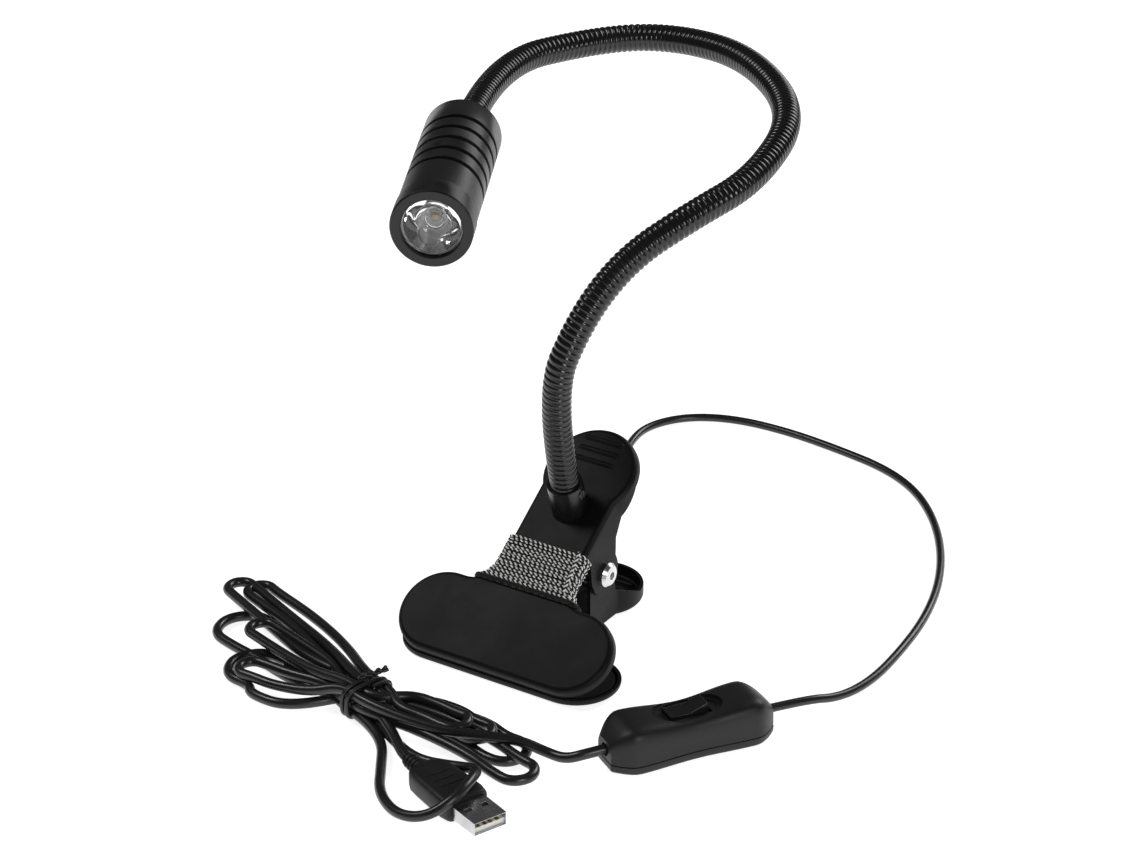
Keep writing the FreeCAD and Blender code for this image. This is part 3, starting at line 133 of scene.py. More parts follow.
def coated(name, dark, light, low, high, grain_scale, grain_depth, smear_scale=60.0, relief=None,
           strength=0.6, **values):
    """The handled surface: two close tones, two roughnesses, and a grain or another relief of some depth."""
    material, tree, shader = new_material(name, **values)
    marks = node(tree, "ShaderNodeGroup", node_tree=handled, Grain_Scale=grain_scale, Smear_Scale=smear_scale,
                 Low_Roughness=low, High_Roughness=high, Dark=(*dark, 1), Light=(*light, 1)).outputs
    height = relief(tree) if relief else marks["Grain"]
    bump = node(tree, "ShaderNodeBump", Strength=strength, Distance=grain_depth, Height=height)
    feed(shader, Base_Color=marks["Colour"], Roughness=marks["Roughness"], Normal=bump.outputs["Normal"])
    return material


cord_jacket = coated("cord_jacket", (0.008, 0.008, 0.0085), (0.016, 0.016, 0.017), 0.26, 0.36, 1400, 0.00003,
                     Specular_IOR_Level=0.5)


def placed(name, data):
    """A new object in the scene, at the origin."""
    piece = bpy.data.objects.new(name, data)
    bpy.context.scene.collection.objects.link(piece)
    return piece


def curve_data(name, points, radius=0.0, kind="NURBS", roundness=5, fineness=10):
    """A curve of one open spline whose control points are given, round where it has a radius."""
    data = bpy.data.curves.new(name, "CURVE")
    data.dimensions = "3D"
    data.bevel_depth = radius * MM
    data.bevel_resolution = roundness
    data.resolution_u = fineness
    data.use_fill_caps = radius > 0
    spline = data.splines.new(kind)
    spline.points.add(len(points) - 1)
    for point, place in zip(spline.points, points):
        point.co = (*(Vector(place) * MM), 1)
    spline.order_u = 3
    spline.use_endpoint_u = True
    return data


def cord_run(name, points, radius, *stood_for):
    """A cord on a smooth spline whose control points are the route's."""
    data = curve_data(name, points, radius)
    data.materials.append(cord_jacket)
    cord = placed(name, data)
    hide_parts(*stood_for)
    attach(cord, "clamp")
    return cord


switch_centre = Vector((76.5, -29.2, 0))
switch_along = Vector((0.53, 0.848, 0)).normalized()
CORD_ENTRY = 6.5


def in_switch(along, up=CORD_ENTRY):
    return switch_centre + switch_along * along + Vector((0, 0, up))


LEAD_RADIUS = 1.5
USB_RADIUS = 1.75
neck_foot = Vector((0, 20, 43.1))
neck_axis = (Vector((1, 5, 90)) - neck_foot).normalized()
lead_points = [
    neck_foot - neck_axis, neck_foot - neck_axis * 15, (0, 32.3, 22.4), (0, 42.3, 22.4), (-1, 54.6, 31),
    (-7, 67, 35.5), (-17, 83, 29), (-27, 98, 17), (-36, 112, 7), (-45, 126, 1.6), (-52, 141, 1.6),
    (-54, 157, 1.6), (-45.5, 172, 1.6), (-29, 180.5, 1.6), (-6, 182, 1.6), (18, 179, 1.6), (38.5, 175, 1.6),
    (56, 166, 1.6), (72, 150, 1.6), (86, 129.5, 1.6), (97, 106, 1.6), (103.8, 82, 1.6), (107, 58, 1.6),
    (108, 37, 1.6), (105, 20.5, 2.4), in_switch(43), in_switch(21)]
lead = cord_run("lead_cord_run", lead_points, LEAD_RADIUS, "lead_cord")

# The hank: each fold leaves the band at its waist, runs out to a rounded tip and comes back.
HANK_WAIST = Vector((-21, -69, 0))
HANK_ALONG = Vector((0.95, -0.31, 0)).normalized()
HANK_ACROSS = Vector((0.31, 0.95, 0)).normalized()
LAYERS = (3.0, 6.4, 9.8)
COLUMN_PITCH = 3.6


def waist_slot(layer, column, along=0.0):
    """A place in the bundle under the band: three layers of four cords."""
    aside = HANK_ACROSS * (column - 1.5) * COLUMN_PITCH
    return HANK_WAIST + HANK_ALONG * along + aside + Vector((0, 0, LAYERS[layer]))


def fold(tip, width, bulge, level, leave, enter):
    """Control points from one slot of the bundle, round a tip that far across, back to another slot."""
    tip = Vector((*tip, 0))
    side = 1 if (tip - HANK_WAIST).dot(HANK_ALONG) > 0 else -1
    out = (tip - HANK_WAIST).normalized()
    across = Vector((-out.y, out.x, 0)) * side
    reach = (tip - HANK_WAIST).length

    def spot(share, offset, height):
        return HANK_WAIST + out * reach * share + across * offset + Vector((0, 0, height))

    first = LAYERS[leave[0]]
    last = LAYERS[enter[0]]
    radius = width / 2
    round_tip = [spot(1.05 + (ahead - 1.155) * radius / reach, bulge * 0.3 + aside * radius, level)
                 for ahead, aside in ((-0.577, -1), (0.577, -1), (1.155, 0), (0.577, 1), (-0.577, 1))]
    return [
        waist_slot(*leave, side * 7), spot(0.38, bulge * 0.8 - radius, (first + level * 2) / 3),
        spot(0.68, bulge * 0.9 - radius, level), *round_tip, spot(0.68, bulge * 0.9 + radius, level),
        spot(0.38, bulge * 0.8 + radius, (last + level * 2) / 3), waist_slot(*enter, side * 7)]


plug_along = Vector((0.932, -0.364, 0)).normalized()
plug_side = Vector((0.364, 0.932, 0)).normalized()
plug_front = Vector((41.5, -101.5, 0))


def on_plug(along, side=0.0, up=4.0):
    return plug_front + plug_along * along + plug_side * side + Vector((0, 0, up))


usb_points = [in_switch(-21), in_switch(-35), (51.5, -61.6, 3.6), (44, -61.2, 3.4), (36, -64, 6.6),
              (26, -69, 7.4), (12, -74, 7.6), (-2, -76, 8.6)]
usb_points += [waist_slot(2, 0, 6), waist_slot(2, 0, -6)]
usb_points += fold((-68, -72), 9, -2, 4.8, (2, 0), (1, 0))[1:]
usb_points += fold((46, -79), 12, 5, 4.6, (1, 0), (1, 3))
usb_points += fold((-102, -32), 9, 1, 5.2, (1, 3), (2, 2))
usb_points += fold((36, -67), 14, 7, 1.9, (2, 2), (0, 3))
usb_points += fold((-75, -65), 19, -7, 1.9, (0, 3), (0, 0))
usb_points += [waist_slot(0, 0, 8), (-4, -83.5, 2), (3.5, -95, 1.9), (12, -108, 1.9), (24, -115, 1.9),
               (35, -114, 4.5), (41, -106, 10.2), (39, -95, 10.4), (35, -86.5, 7.5), (24, -86, 4.6),
               (12, -87.5, 3.6), (-2, -81.5, 3.4), waist_slot(0, 1, 7)]
usb_points += fold((-93, -48), 19, 2, 1.9, (0, 1), (0, 2))
usb_points += fold((23, -66), 10, 6, 4.8, (0, 2), (1, 2))
usb_points += fold((-96, -31), 9, 6, 5.0, (1, 2), (2, 3))
usb_points += fold((16, -68), 9, 2, 8.0, (2, 3), (2, 1))
usb_points += fold((-78, -52), 9, 0, 6.8, (2, 1), (1, 1))
usb_points += [waist_slot(1, 1, 8), (-4, -79, 5), (3, -84.5, 4.2), on_plug(-36), on_plug(-30)]
usb = cord_run("usb_cord_run", usb_points, USB_RADIUS, "usb_cord", "cord_hank", "cord_tail")

# ---- clamp plates, socket and small fittings ------------------------------------------------------
# Two plates of pressed steel with turned-down rims, powder coated satin black, with thin rubber glued
# in their jaws. The short steel tube that takes the gooseneck is welded on and coated with them.
body_of = {part: body for body, held in frame["record"]["behaviour"]["bodies"].items() for part in held}


def stands_for(piece, part):
    """The piece takes the place of a CAD node, on that node's body."""
    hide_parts(part)
    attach(piece, body_of[part])
    return piece


def settled(shape, mesh, crease=None):
    """Hand the working shape to its mesh, smooth but for the edges sharper than the crease angle."""
    if crease:
        for face in shape.faces:
            face.smooth = True
        for edge in shape.edges:
            edge.smooth = edge.calc_face_angle(0) < crease
    shape.to_mesh(mesh)
    shape.free()


def ease(piece, width, crease, segments=2):
    """Round off the sharp edges of a piece, as tumbling, moulding or paint does."""
    eased = piece.modifiers.new("eased", "BEVEL")
    eased.width = width * MM
    eased.segments = segments
    eased.limit_method = "ANGLE"
    eased.angle_limit = crease
    eased.harden_normals = True
    return piece


CREASE = math.radians(34)
WELD = 2e-6


def finished(part, material, width=0.15, crease=CREASE, segments=2):
    """The CAD shape as a whole mesh with its edges rounded off."""
    mesh = nodes[part].data.copy()
    mesh.name = part + "_finished"
    shape = bmesh.new()
    shape.from_mesh(mesh)
    bmesh.ops.remove_doubles(shape, verts=shape.verts, dist=WELD)
    bmesh.ops.dissolve_limit(shape, angle_limit=math.radians(0.5), verts=shape.verts, edges=shape.edges)
    settled(shape, mesh, crease)
    mesh.materials.clear()
    mesh.materials.append(material)
    piece = placed(part + "_finished", mesh)
    if width:
        ease(piece, width, crease, segments)
    return stands_for(piece, part)


powder_coat = coated("powder_coat", (0.0040, 0.0040, 0.0041), (0.0048, 0.0048, 0.0050), 0.46, 0.52, 1800,
                     0.00005, Specular_IOR_Level=0.16)
gloss_coat = coated("gloss_coat", (0.0045, 0.0045, 0.0047), (0.0060, 0.0060, 0.0062), 0.24, 0.30, 1300,
                    0.000004, Specular_IOR_Level=0.5)
for plate in ("upper_plate", "lower_plate"):
    finished(plate, powder_coat, 0.22)
finished("neck_socket", gloss_coat, 0.15, segments=2)

pad_rubber = coated("pad_rubber", (0.0045, 0.0045, 0.0045), (0.0055, 0.0055, 0.0055), 0.72, 0.8, 900, 0.0001,
                    Specular_IOR_Level=0.2)
for pad in ("upper_jaw_pad", "lower_jaw_pad"):
    finished(pad, pad_rubber, 0.3)
grommet = finished("cable_grommet", pad_rubber, 0.3, segments=3)

bright_plate = coated("bright_nickel", (0.62, 0.62, 0.63), (0.78, 0.78, 0.79), 0.16, 0.30, 500, 0.00002, 120,
                      Metallic=1.0)
dark_plate = coated("dark_plated_screw", (0.10, 0.10, 0.11), (0.2, 0.2, 0.21), 0.3, 0.42, 700, 0.00002,
                    Metallic=1.0)
finished("pivot_screw", bright_plate, 0.2, math.radians(28), 3)
finished("pivot_nut", bright_plate, 0.3, segments=3)
finished("socket_set_screw", dark_plate, 0.1)

# ---- torsion spring -------------------------------------------------------------------------------
# Close-wound spring wire on the pivot screw. One leg presses up under the upper lever and the other
# down on the lower one. The real coil winds up as the jaws open; here it is one fixed shape, drawn at rest.
PIVOT = Vector((0, 20, 21.5))
WIRE_RADIUS = 0.8
COIL_RADIUS = 4.6
COIL_TURNS = 5
COIL_NEAR = -4.0
COIL_PITCH = 1.9 * WIRE_RADIUS
COIL_FAR = COIL_NEAR - (COIL_TURNS - 1) * COIL_PITCH
LEG_SLOPE = 35
JAW_ANGLE = 35.04
PLATE_WALL = 1.2
UPPER_DROP = 17.75
spring_wire = coated("spring_wire", (0.18, 0.18, 0.19), (0.34, 0.34, 0.35), 0.28, 0.42, 900, 0.00002,
                     Metallic=1.0)


def leg_tip(plate_angle, drop, x, upward):
    """Where a leg rests on its lever, and the turn of the coil at which it leaves."""
    lean = math.radians(LEG_SLOPE)
    rise = drop - PLATE_WALL - WIRE_RADIUS - 0.1
    length = (rise - COIL_RADIUS * math.cos(lean)) / math.sin(lean)
    heading = math.radians(plate_angle) + upward * lean
    along = Vector((0, math.cos(heading), math.sin(heading)))
    out = Vector((0, -math.sin(heading), math.cos(heading))) * upward
    return PIVOT + Vector((x, 0, 0)) + out * COIL_RADIUS + along * length, math.atan2(out.z, out.y)


upper_tip, upper_turn = leg_tip(JAW_ANGLE, UPPER_DROP, COIL_FAR, 1)
lower_tip, lower_turn = leg_tip(0, PIVOT.z, COIL_NEAR, -1)
sweep = upper_turn - lower_turn + 2 * math.pi * (COIL_TURNS - 1)
STEPS_A_TURN = 40
coil_steps = round(sweep / (2 * math.pi) * STEPS_A_TURN)
coil = [lower_tip]
for step in range(coil_steps + 1):
    share = step / coil_steps
    turn = lower_turn + sweep * share
    coil.append(PIVOT + Vector((COIL_NEAR + (COIL_FAR - COIL_NEAR) * share, math.cos(turn) * COIL_RADIUS,
                                math.sin(turn) * COIL_RADIUS)))
coil.append(upper_tip)


def plain_mesh(piece):
    """The piece's shape with its modifiers worked in."""
    return bpy.data.meshes.new_from_object(piece.evaluated_get(bpy.context.evaluated_depsgraph_get()))


def mesh_of(name, data):
    """A curve's shape as a mesh."""
    draft = placed(name + "_draft", data)
    mesh = plain_mesh(draft)
    bpy.data.objects.remove(draft)
    mesh.name = name
    return mesh


def wire(name, points, radius, material, sides=4):
    """A round wire through the points, as a mesh."""
    mesh = mesh_of(name, curve_data(name, points, radius, "POLY", sides))
    mesh.materials.clear()
    mesh.materials.append(material)
    mesh.shade_smooth()
    return placed(name, mesh)


spring = wire("torsion_spring_wire", coil, WIRE_RADIUS, spring_wire)
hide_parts("torsion_spring")
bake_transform(spring)

# ---- gooseneck ------------------------------------------------------------------------------------
# A hose of two wound steel strips whose round ribs show as a fine screw, coated gloss black. It is
# one hose, cut in lengths that each take in one joint of the neck and meet halfway between joints.
NECK_RADIUS = 5.0
NECK_FOOT = 1.8
NECK_IN_HEAD = 9.0
RIB_PITCH = 2.1
RIB_DEPTH = 0.62
RIB_STEPS = 8
HOSE_SIDES = 26
NECK_LENGTHS = 10
neck_route = [
    neck_foot, Vector((1, 5, 90)), Vector((8, 14.5, 117)), Vector((15.5, 30.5, 134)), Vector((28, 49, 145)),
    Vector((37, 76, 151)), Vector((29, 117, 158.5)), Vector((-8.5, 150.5, 161)), Vector((-46, 162, 158)),
    Vector((-71, 150, 156)), Vector((-87, 100, 158)), Vector((-61, 48, 155))]
head_rear = neck_route[-1]
head_axis = (neck_route[-1] - neck_route[-2]).normalized()
neck_route[0] = neck_foot + neck_axis * NECK_FOOT
neck_route[-1] = head_rear + head_axis * NECK_IN_HEAD


def tree_with(name, **values):
    """A geometry node tree with a number input for each value, and geometry in and out."""
    tree = bpy.data.node_groups.new(name, "GeometryNodeTree")
    tree.interface.new_socket("Geometry", in_out="INPUT", socket_type="NodeSocketGeometry")
    tree.interface.new_socket("Geometry", in_out="OUTPUT", socket_type="NodeSocketGeometry")
    for label, value in values.items():
        kind = {float: "NodeSocketFloat", int: "NodeSocketInt"}.get(type(value), "NodeSocketMaterial")
        socket = tree.interface.new_socket(label.replace("_", " "), in_out="INPUT", socket_type=kind)
        if value is not None:
            socket.default_value = value
    return tree, node(tree, "NodeGroupInput").outputs


def maths(tree, operation, *values):
    made = node(tree, "ShaderNodeMath", operation=operation)
    for socket, value in zip(made.inputs, values):
        if isinstance(value, bpy.types.NodeSocket):
            tree.links.new(value, socket)
        else:
            socket.default_value = value
    return made.outputs[0]


def vectors(tree, operation, *values, **inputs):
    made = node(tree, "ShaderNodeVectorMath", operation=operation, **inputs)
    for socket, value in zip(made.inputs, values):
        tree.links.new(value, socket)
    return made.outputs[0]


def even_line(tree, given, step):
    """The route's edges as a curve with its points a step apart."""
    line = node(tree, "GeometryNodeMeshToCurve", Mesh=given["Geometry"])
    even = node(tree, "GeometryNodeResampleCurve", mode="LENGTH", Curve=line.outputs["Curve"], Length=step)
    return even.outputs["Curve"]


def captured(tree, label, curve, measure):
    """A curve that remembers how far along it each of its points lies."""
    kept = node(tree, "GeometryNodeCaptureAttribute", domain="POINT")
    kept.capture_items.new("FLOAT", label)
    place = node(tree, "GeometryNodeSplineParameter")
    return feed(kept, Geometry=curve, **{label: place.outputs[measure]}).outputs


def dressed(tree, geometry, finish):
    """The geometry with smooth faces and its material."""
    smooth = node(tree, "GeometryNodeSetShadeSmooth", Geometry=geometry)
    return node(tree, "GeometryNodeSetMaterial", Geometry=smooth.outputs[0], Material=finish).outputs[0]


def end_tree(tree, geometry):
    """Realize the instances and hand the geometry out."""
    whole = node(tree, "GeometryNodeRealizeInstances", Geometry=geometry)
    node(tree, "NodeGroupOutput", Geometry=whole.outputs[0])
    return tree


def hose_tree():
    tree, given = tree_with(
        "wound_hose", From=0.0, To=1.0, Radius=NECK_RADIUS * MM, Rib_Pitch=RIB_PITCH * MM,
        Rib_Depth=RIB_DEPTH * MM, Steps=RIB_STEPS, Sides=HOSE_SIDES, Finish=None)
    even = even_line(tree, given, maths(tree, "DIVIDE", given["Rib Pitch"], given["Steps"]))
    along = captured(tree, "Along", even, "Length")
    ring = node(tree, "GeometryNodeCurvePrimitiveCircle", mode="RADIUS", Resolution=given["Sides"],
                Radius=maths(tree, "SUBTRACT", given["Radius"], given["Rib Depth"]))
    around = captured(tree, "Around", ring.outputs["Curve"], "Factor")
    tube = node(tree, "GeometryNodeCurveToMesh", Curve=along["Geometry"], Profile_Curve=around["Geometry"])
    turns = maths(tree, "DIVIDE", along["Along"], given["Rib Pitch"])
    phase = maths(tree, "FRACT", maths(tree, "ADD", turns, around["Around"]))
    from_crest = maths(tree, "SUBTRACT", maths(tree, "MULTIPLY", phase, 2.0), 1.0)
    fallen = maths(tree, "MULTIPLY", from_crest, from_crest)
    round_rib = maths(tree, "SQRT", maths(tree, "SUBTRACT", 1.0, fallen))
    normal = node(tree, "GeometryNodeInputNormal").outputs[0]
    lift = vectors(tree, "SCALE", normal, Scale=maths(tree, "MULTIPLY", round_rib, given["Rib Depth"]))
    ribbed = node(tree, "GeometryNodeSetPosition", Geometry=tube.outputs["Mesh"], Offset=lift)
    outside = maths(tree, "MAXIMUM", maths(tree, "LESS_THAN", along["Along"], given["From"]),
                    maths(tree, "GREATER_THAN", along["Along"], given["To"]))
    trimmed = node(tree, "GeometryNodeDeleteGeometry", domain="FACE", Geometry=ribbed.outputs["Geometry"],
                   Selection=outside)
    return end_tree(tree, dressed(tree, trimmed.outputs["Geometry"], given["Finish"]))


def grown(name, tree, mesh, **values):
    """The tree's result on a mesh, as a plain mesh of its own."""
    draft = placed(name + "_draft", mesh)
    grower = draft.modifiers.new(name, "NODES")
    grower.node_group = tree
    sockets = {item.name: item.identifier for item in tree.interface.items_tree if item.in_out == "INPUT"}
    for label, value in values.items():
        grower[sockets[label.replace("_", " ")]] = value
    made = plain_mesh(draft)
    draft.modifiers.remove(grower)
    bpy.data.objects.remove(draft)
    made.name = name
    return placed(name, made)


hose_gloss = coated("hose_gloss", (0.005, 0.005, 0.0055), (0.009, 0.009, 0.0095), 0.17, 0.27, 1500, 0.00002,
                    Specular_IOR_Level=0.5)
neck_line = mesh_of("neck_line", curve_data("neck_line", neck_route, fineness=64))
walk = [0.0]
for edge in neck_line.edges:
    first, second = (neck_line.vertices[corner].co for corner in edge.vertices)
    walk.append(walk[-1] + (second - first).length)
neck_joints = [Vector(joint["pos_m"]) for joint in frame["record"]["behaviour"]["joints"]
               if joint["name"].startswith("neck_bend")]
joint_along = [walk[min(range(len(walk)), key=lambda spot: (neck_line.vertices[spot].co - joint).length)]
               for joint in neck_joints]
stations = [0.0, *joint_along, walk[-1]]
halfway = [(near + far) / 2 for near, far in zip(stations, stations[1:])]
bounds_along = [-1.0, *halfway, walk[-1] + 1]
hose = hose_tree()
for number, (start, end) in enumerate(zip(bounds_along, bounds_along[1:])):
    length = grown(f"hose_{number}", hose, neck_line.copy(), From=start, To=end, Finish=hose_gloss)
    if number == 0:
        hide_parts("neck_link_0")
        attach(length, "clamp")
    elif number == NECK_LENGTHS:
        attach(length, f"neck_{NECK_LENGTHS - 1}")
    else:
        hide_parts(f"neck_link_{number}")
        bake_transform(length)

# ---- knitted grips --------------------------------------------------------------------------------
# Elastic bands of black and white yarn, pulled over the waist of each plate so that the jaws hold
# without a scratch. Each round is two strands twisted together; the jaw end has a rolled black hem.
WAIST_WIDTH = 29
LOWER_WAIST = 26
SHOULDER = 9
JAW_DEPTH = 30
KNIT_FLARE = 4.5
YARN_RADIUS = 0.32
YARN_SWAY = 0.13
KNIT_WAVE = 0.2
ROUND_PITCH = 1.22
TWIST_PITCH = 1.95
YARN_STEP = 0.26
YARN_SIDES = 5
PLATE_BEND = 2.0
UPPER_REACH = 52
LOWER_REACH = 51
SEED = 7
closed_turn = Matrix.Rotation(math.radians(JAW_ANGLE), 4, "X")
upper_plate_place = (Matrix.Translation(PIVOT - closed_turn @ Vector((0, UPPER_REACH, -UPPER_DROP)))
                     @ closed_turn @ Matrix.Rotation(math.pi, 4, "Y"))
lower_plate_place = Matrix.Translation((0, PIVOT.y - LOWER_REACH, 0))


def half_width(along, waist):
    """Half of the plate's width at a distance from its jaw edge, where the jaw hollows into the waist."""
    into = max(0.0, JAW_DEPTH + SHOULDER - along)
    return min(waist / 2 + SHOULDER - math.sqrt(SHOULDER ** 2 - min(into, SHOULDER) ** 2),
               waist / 2 + KNIT_FLARE)


def round_loop(along, waist, low, high, proud, steps=7):
    """The section of a plate's waist, grown by the cloth, as points in the plate's own frame."""
    side = half_width(along, waist) + proud
    points = []
    for sign_x, sign_z, first in ((1, -1, -90), (1, 1, 0), (-1, 1, 90), (-1, -1, 180)):
        corner = (PLATE_BEND if sign_z < 0 else 0.3) + proud
        centre_x = sign_x * (side - corner)
        centre_z = (low - proud + corner) if sign_z < 0 else (high + proud - corner)
        for step in range(steps):
            turn = math.radians(first + 90 * step / (steps - 1))
            points.append(Vector((centre_x + corner * math.cos(turn), along,
                                  centre_z + corner * math.sin(turn))))
    return points


def yarn_tree():
    tree, given = tree_with(
        "twisted_yarn", Strand_Radius=YARN_RADIUS * MM, Sway=YARN_SWAY * MM, Twist_Pitch=TWIST_PITCH * MM,
        Step=YARN_STEP * MM, Sides=YARN_SIDES, First_Yarn=None, Second_Yarn=None)
    even = even_line(tree, given, given["Step"])
    place = node(tree, "GeometryNodeSplineParameter")
    radial = node(tree, "GeometryNodeInputNormal").outputs[0]
    across = vectors(tree, "CROSS_PRODUCT", node(tree, "GeometryNodeInputTangent").outputs[0], radial)
    turns = maths(tree, "DIVIDE", place.outputs["Length"], given["Twist Pitch"])
    strands = node(tree, "GeometryNodeJoinGeometry")
    ring = node(tree, "GeometryNodeCurvePrimitiveCircle", mode="RADIUS", Resolution=given["Sides"],
                Radius=given["Strand Radius"])
    for start, yarn in ((0.0, "First Yarn"), (0.5, "Second Yarn")):
        angle = maths(tree, "MULTIPLY", maths(tree, "ADD", turns, start), 2 * math.pi)
        depth = maths(tree, "MULTIPLY", maths(tree, "COSINE", angle), given["Strand Radius"])
        side = maths(tree, "MULTIPLY", maths(tree, "SINE", angle), given["Sway"])
        offset = vectors(tree, "ADD", vectors(tree, "SCALE", radial, Scale=depth),
                         vectors(tree, "SCALE", across, Scale=side))
        laid = node(tree, "GeometryNodeSetPosition", Geometry=even, Offset=offset)
        strand = node(tree, "GeometryNodeCurveToMesh", Curve=laid.outputs["Geometry"],
                      Profile_Curve=ring.outputs["Curve"])
        tree.links.new(dressed(tree, strand.outputs["Mesh"], given[yarn]), strands.inputs[0])
    return end_tree(tree, strands.outputs[0])


def yarn_material(name, dark, light):
    """Spun fibre: mottled, rough and a little fuzzy at its edges."""
    return coated(name, dark, light, 0.75, 0.9, 2600, 0.00025, 900, Sheen_Weight=0.35, Sheen_Roughness=0.4,
                  Specular_IOR_Level=0.25)


black_yarn = yarn_material("black_yarn", (0.006, 0.006, 0.006), (0.016, 0.016, 0.016))
white_yarn = yarn_material("white_yarn", (0.88, 0.88, 0.87), (1.0, 1.0, 0.98))
elastic_cloth = yarn_material("elastic_cloth", (0.004, 0.004, 0.004), (0.010, 0.010, 0.010))
twisted_yarn = yarn_tree()


def lines_mesh(name, lines, closed):
    """Rows of points as mesh edges, each row a loop where it is closed."""
    mesh = bpy.data.meshes.new(name)
    corners, edges = [], []
    for points in lines:
        first = len(corners)
        corners += [tuple(point * MM) for point in points]
        edges += [(first + spot, first + spot + 1) for spot in range(len(points) - 1)]
        if closed:
            edges.append((len(corners) - 1, first))
    mesh.from_pydata(corners, edges, [])
    return mesh


def loft(name, loops, material, closed_ends=False):
    """A skin over loops of equally many points, closed across its ends or round as a tube's wall."""
    mesh = bpy.data.meshes.new(name)
    count = len(loops[0])
    corners = [tuple(point * MM) for loop in loops for point in loop]
    faces = []
    last = len(loops) - 1 if closed_ends else len(loops)
    for row in range(last):
        under, over = row * count, (row + 1) % len(loops) * count
        for spot in range(count):
            after = (spot + 1) % count
            faces.append((under + spot, under + after, over + after, over + spot))
    if closed_ends:
        faces += [tuple(reversed(range(count))), tuple(range(len(corners) - count, len(corners)))]
    mesh.from_pydata(corners, [], faces)
    shape = bmesh.new()
    shape.from_mesh(mesh)
    bmesh.ops.recalc_face_normals(shape, faces=shape.faces)
    settled(shape, mesh, CREASE)
    mesh.materials.append(material)
    return placed(name, mesh)


def joined(name, pieces):
    """Several meshes as one piece, with their materials kept."""
    shape = bmesh.new()
    materials = []
    for piece in pieces:
        part = piece.data.copy()
        places = []
        for material in part.materials:
            if material not in materials:
                materials.append(material)
            places.append(materials.index(material))
        for face in part.polygons:
            face.material_index = places[face.material_index]
        shape.from_mesh(part)
        bpy.data.objects.remove(piece)
    mesh = bpy.data.meshes.new(name)
    settled(shape, mesh)
    for material in materials:
        mesh.materials.append(material)
    return placed(name, mesh)


def knitted_grip(name, place, waist, low, high, first, last, proud, hem):
    """Rounds of yarn from first to last along the plate, over its section from low to high."""
    chance = random.Random(SEED)
    rounds = []
    for number in range(round((last - first) / ROUND_PITCH) + 1):
        along = first + number * ROUND_PITCH
        slip = chance.randrange(28)
        lift = chance.uniform(-0.12, 0.14)
        wave = chance.uniform(0, 2 * math.pi)
        loop = round_loop(along, waist, low, high, proud + lift)
        loop = [point + Vector((0, KNIT_WAVE * math.sin(wave + point.x * 1.9), 0)) for point in loop]
        rounds.append([place @ point for point in loop[slip:] + loop[:slip]])
    knit = grown(name + "_rounds", twisted_yarn, lines_mesh(name + "_lines", rounds, True),
                 First_Yarn=black_yarn, Second_Yarn=white_yarn)
    pieces = [knit]
    if hem:
        front = [place @ point for point in round_loop(hem, waist, low, high, proud - 0.1)]
        pieces.append(grown(name + "_hem", twisted_yarn, lines_mesh(name + "_hem_line", [front], True),
                            Strand_Radius=0.5 * MM, Sway=0.5 * MM, Twist_Pitch=1.5 * MM, Step=0.2 * MM,
                            First_Yarn=black_yarn, Second_Yarn=elastic_cloth))
        side = half_width(last, waist) - 1.5
        seam = [place @ Vector((-side - 0.11 * (last - along), along, low - proud - 0.75))
                for along in (last + 1.2, last - 1, last - 3.5, last - 6.5, last - 10, last - 14)]
        pieces.append(grown(name + "_seam", twisted_yarn, lines_mesh(name + "_seam_line", [seam], False),
                            First_Yarn=white_yarn, Second_Yarn=black_yarn))
    cloth = [[place @ point for point in round_loop(along, waist, low, high, depth)]
             for depth, span in ((proud - 0.15, (first - 0.5, last + 0.5)), (0.2, (last + 0.5, first - 0.5)))
             for along in [span[0] + (span[1] - span[0]) * share / 8 for share in range(9)]]
    pieces.append(loft(name + "_cloth", cloth, elastic_cloth))
    return joined(name, pieces)


upper_grip = knitted_grip("upper_knit", upper_plate_place, WAIST_WIDTH, low=0, high=4, first=32.2, last=47.8,
                          proud=0.95, hem=31.1)
stands_for(upper_grip, "upper_knit_sleeve")
lower_grip = knitted_grip("lower_knit", lower_plate_place, LOWER_WAIST, low=1.65, high=5.2, first=34.9,
                          last=42.4, proud=0.85, hem=None)
stands_for(lower_grip, "lower_knit_sleeve")

# ---- lamp head ------------------------------------------------------------------------------------
# Turned from aluminium bar and anodised black: a body with five cooling grooves and a screwed front
# ring. Behind the ring a clear moulded lens stands on a white three-legged holder over the LED.
HEAD_RADIUS = 13.3
HEAD_LENGTH = 73.0
RING_RADIUS = 13.65
RING_LENGTH = 9.2
CHAMBER_FLOOR = 57.0
BOARD_FACE = 58.6
LENS_LOW = 62.6
LENS_TOP = 71.1
GROOVES = 5
GROOVE_PITCH = 8.2
GROOVE_WIDTH = 2.4
GROOVE_DEPTH = 1.7
FIRST_GROOVE = 47.0
NECK_SEAT = 5.05
SEAT_DEPTH = 10
WIRE_BORE = 2.2
SPIGOT_RADIUS = 11.95
SPIGOT_LENGTH = 4.2
CHAMBER_RADIUS = 10.9
RING_BORE = 12.0
WINDOW_RADIUS = 10.0
LIP_BACK = 71.2
head_place = Matrix.Translation(head_rear) @ head_axis.to_track_quat("Z", "Y").to_matrix().to_4x4()


TURNED_CREASE = math.radians(25)


def turns(steps):
    """A whole turn in equal steps."""
    return [2 * math.pi * step / steps for step in range(steps)]


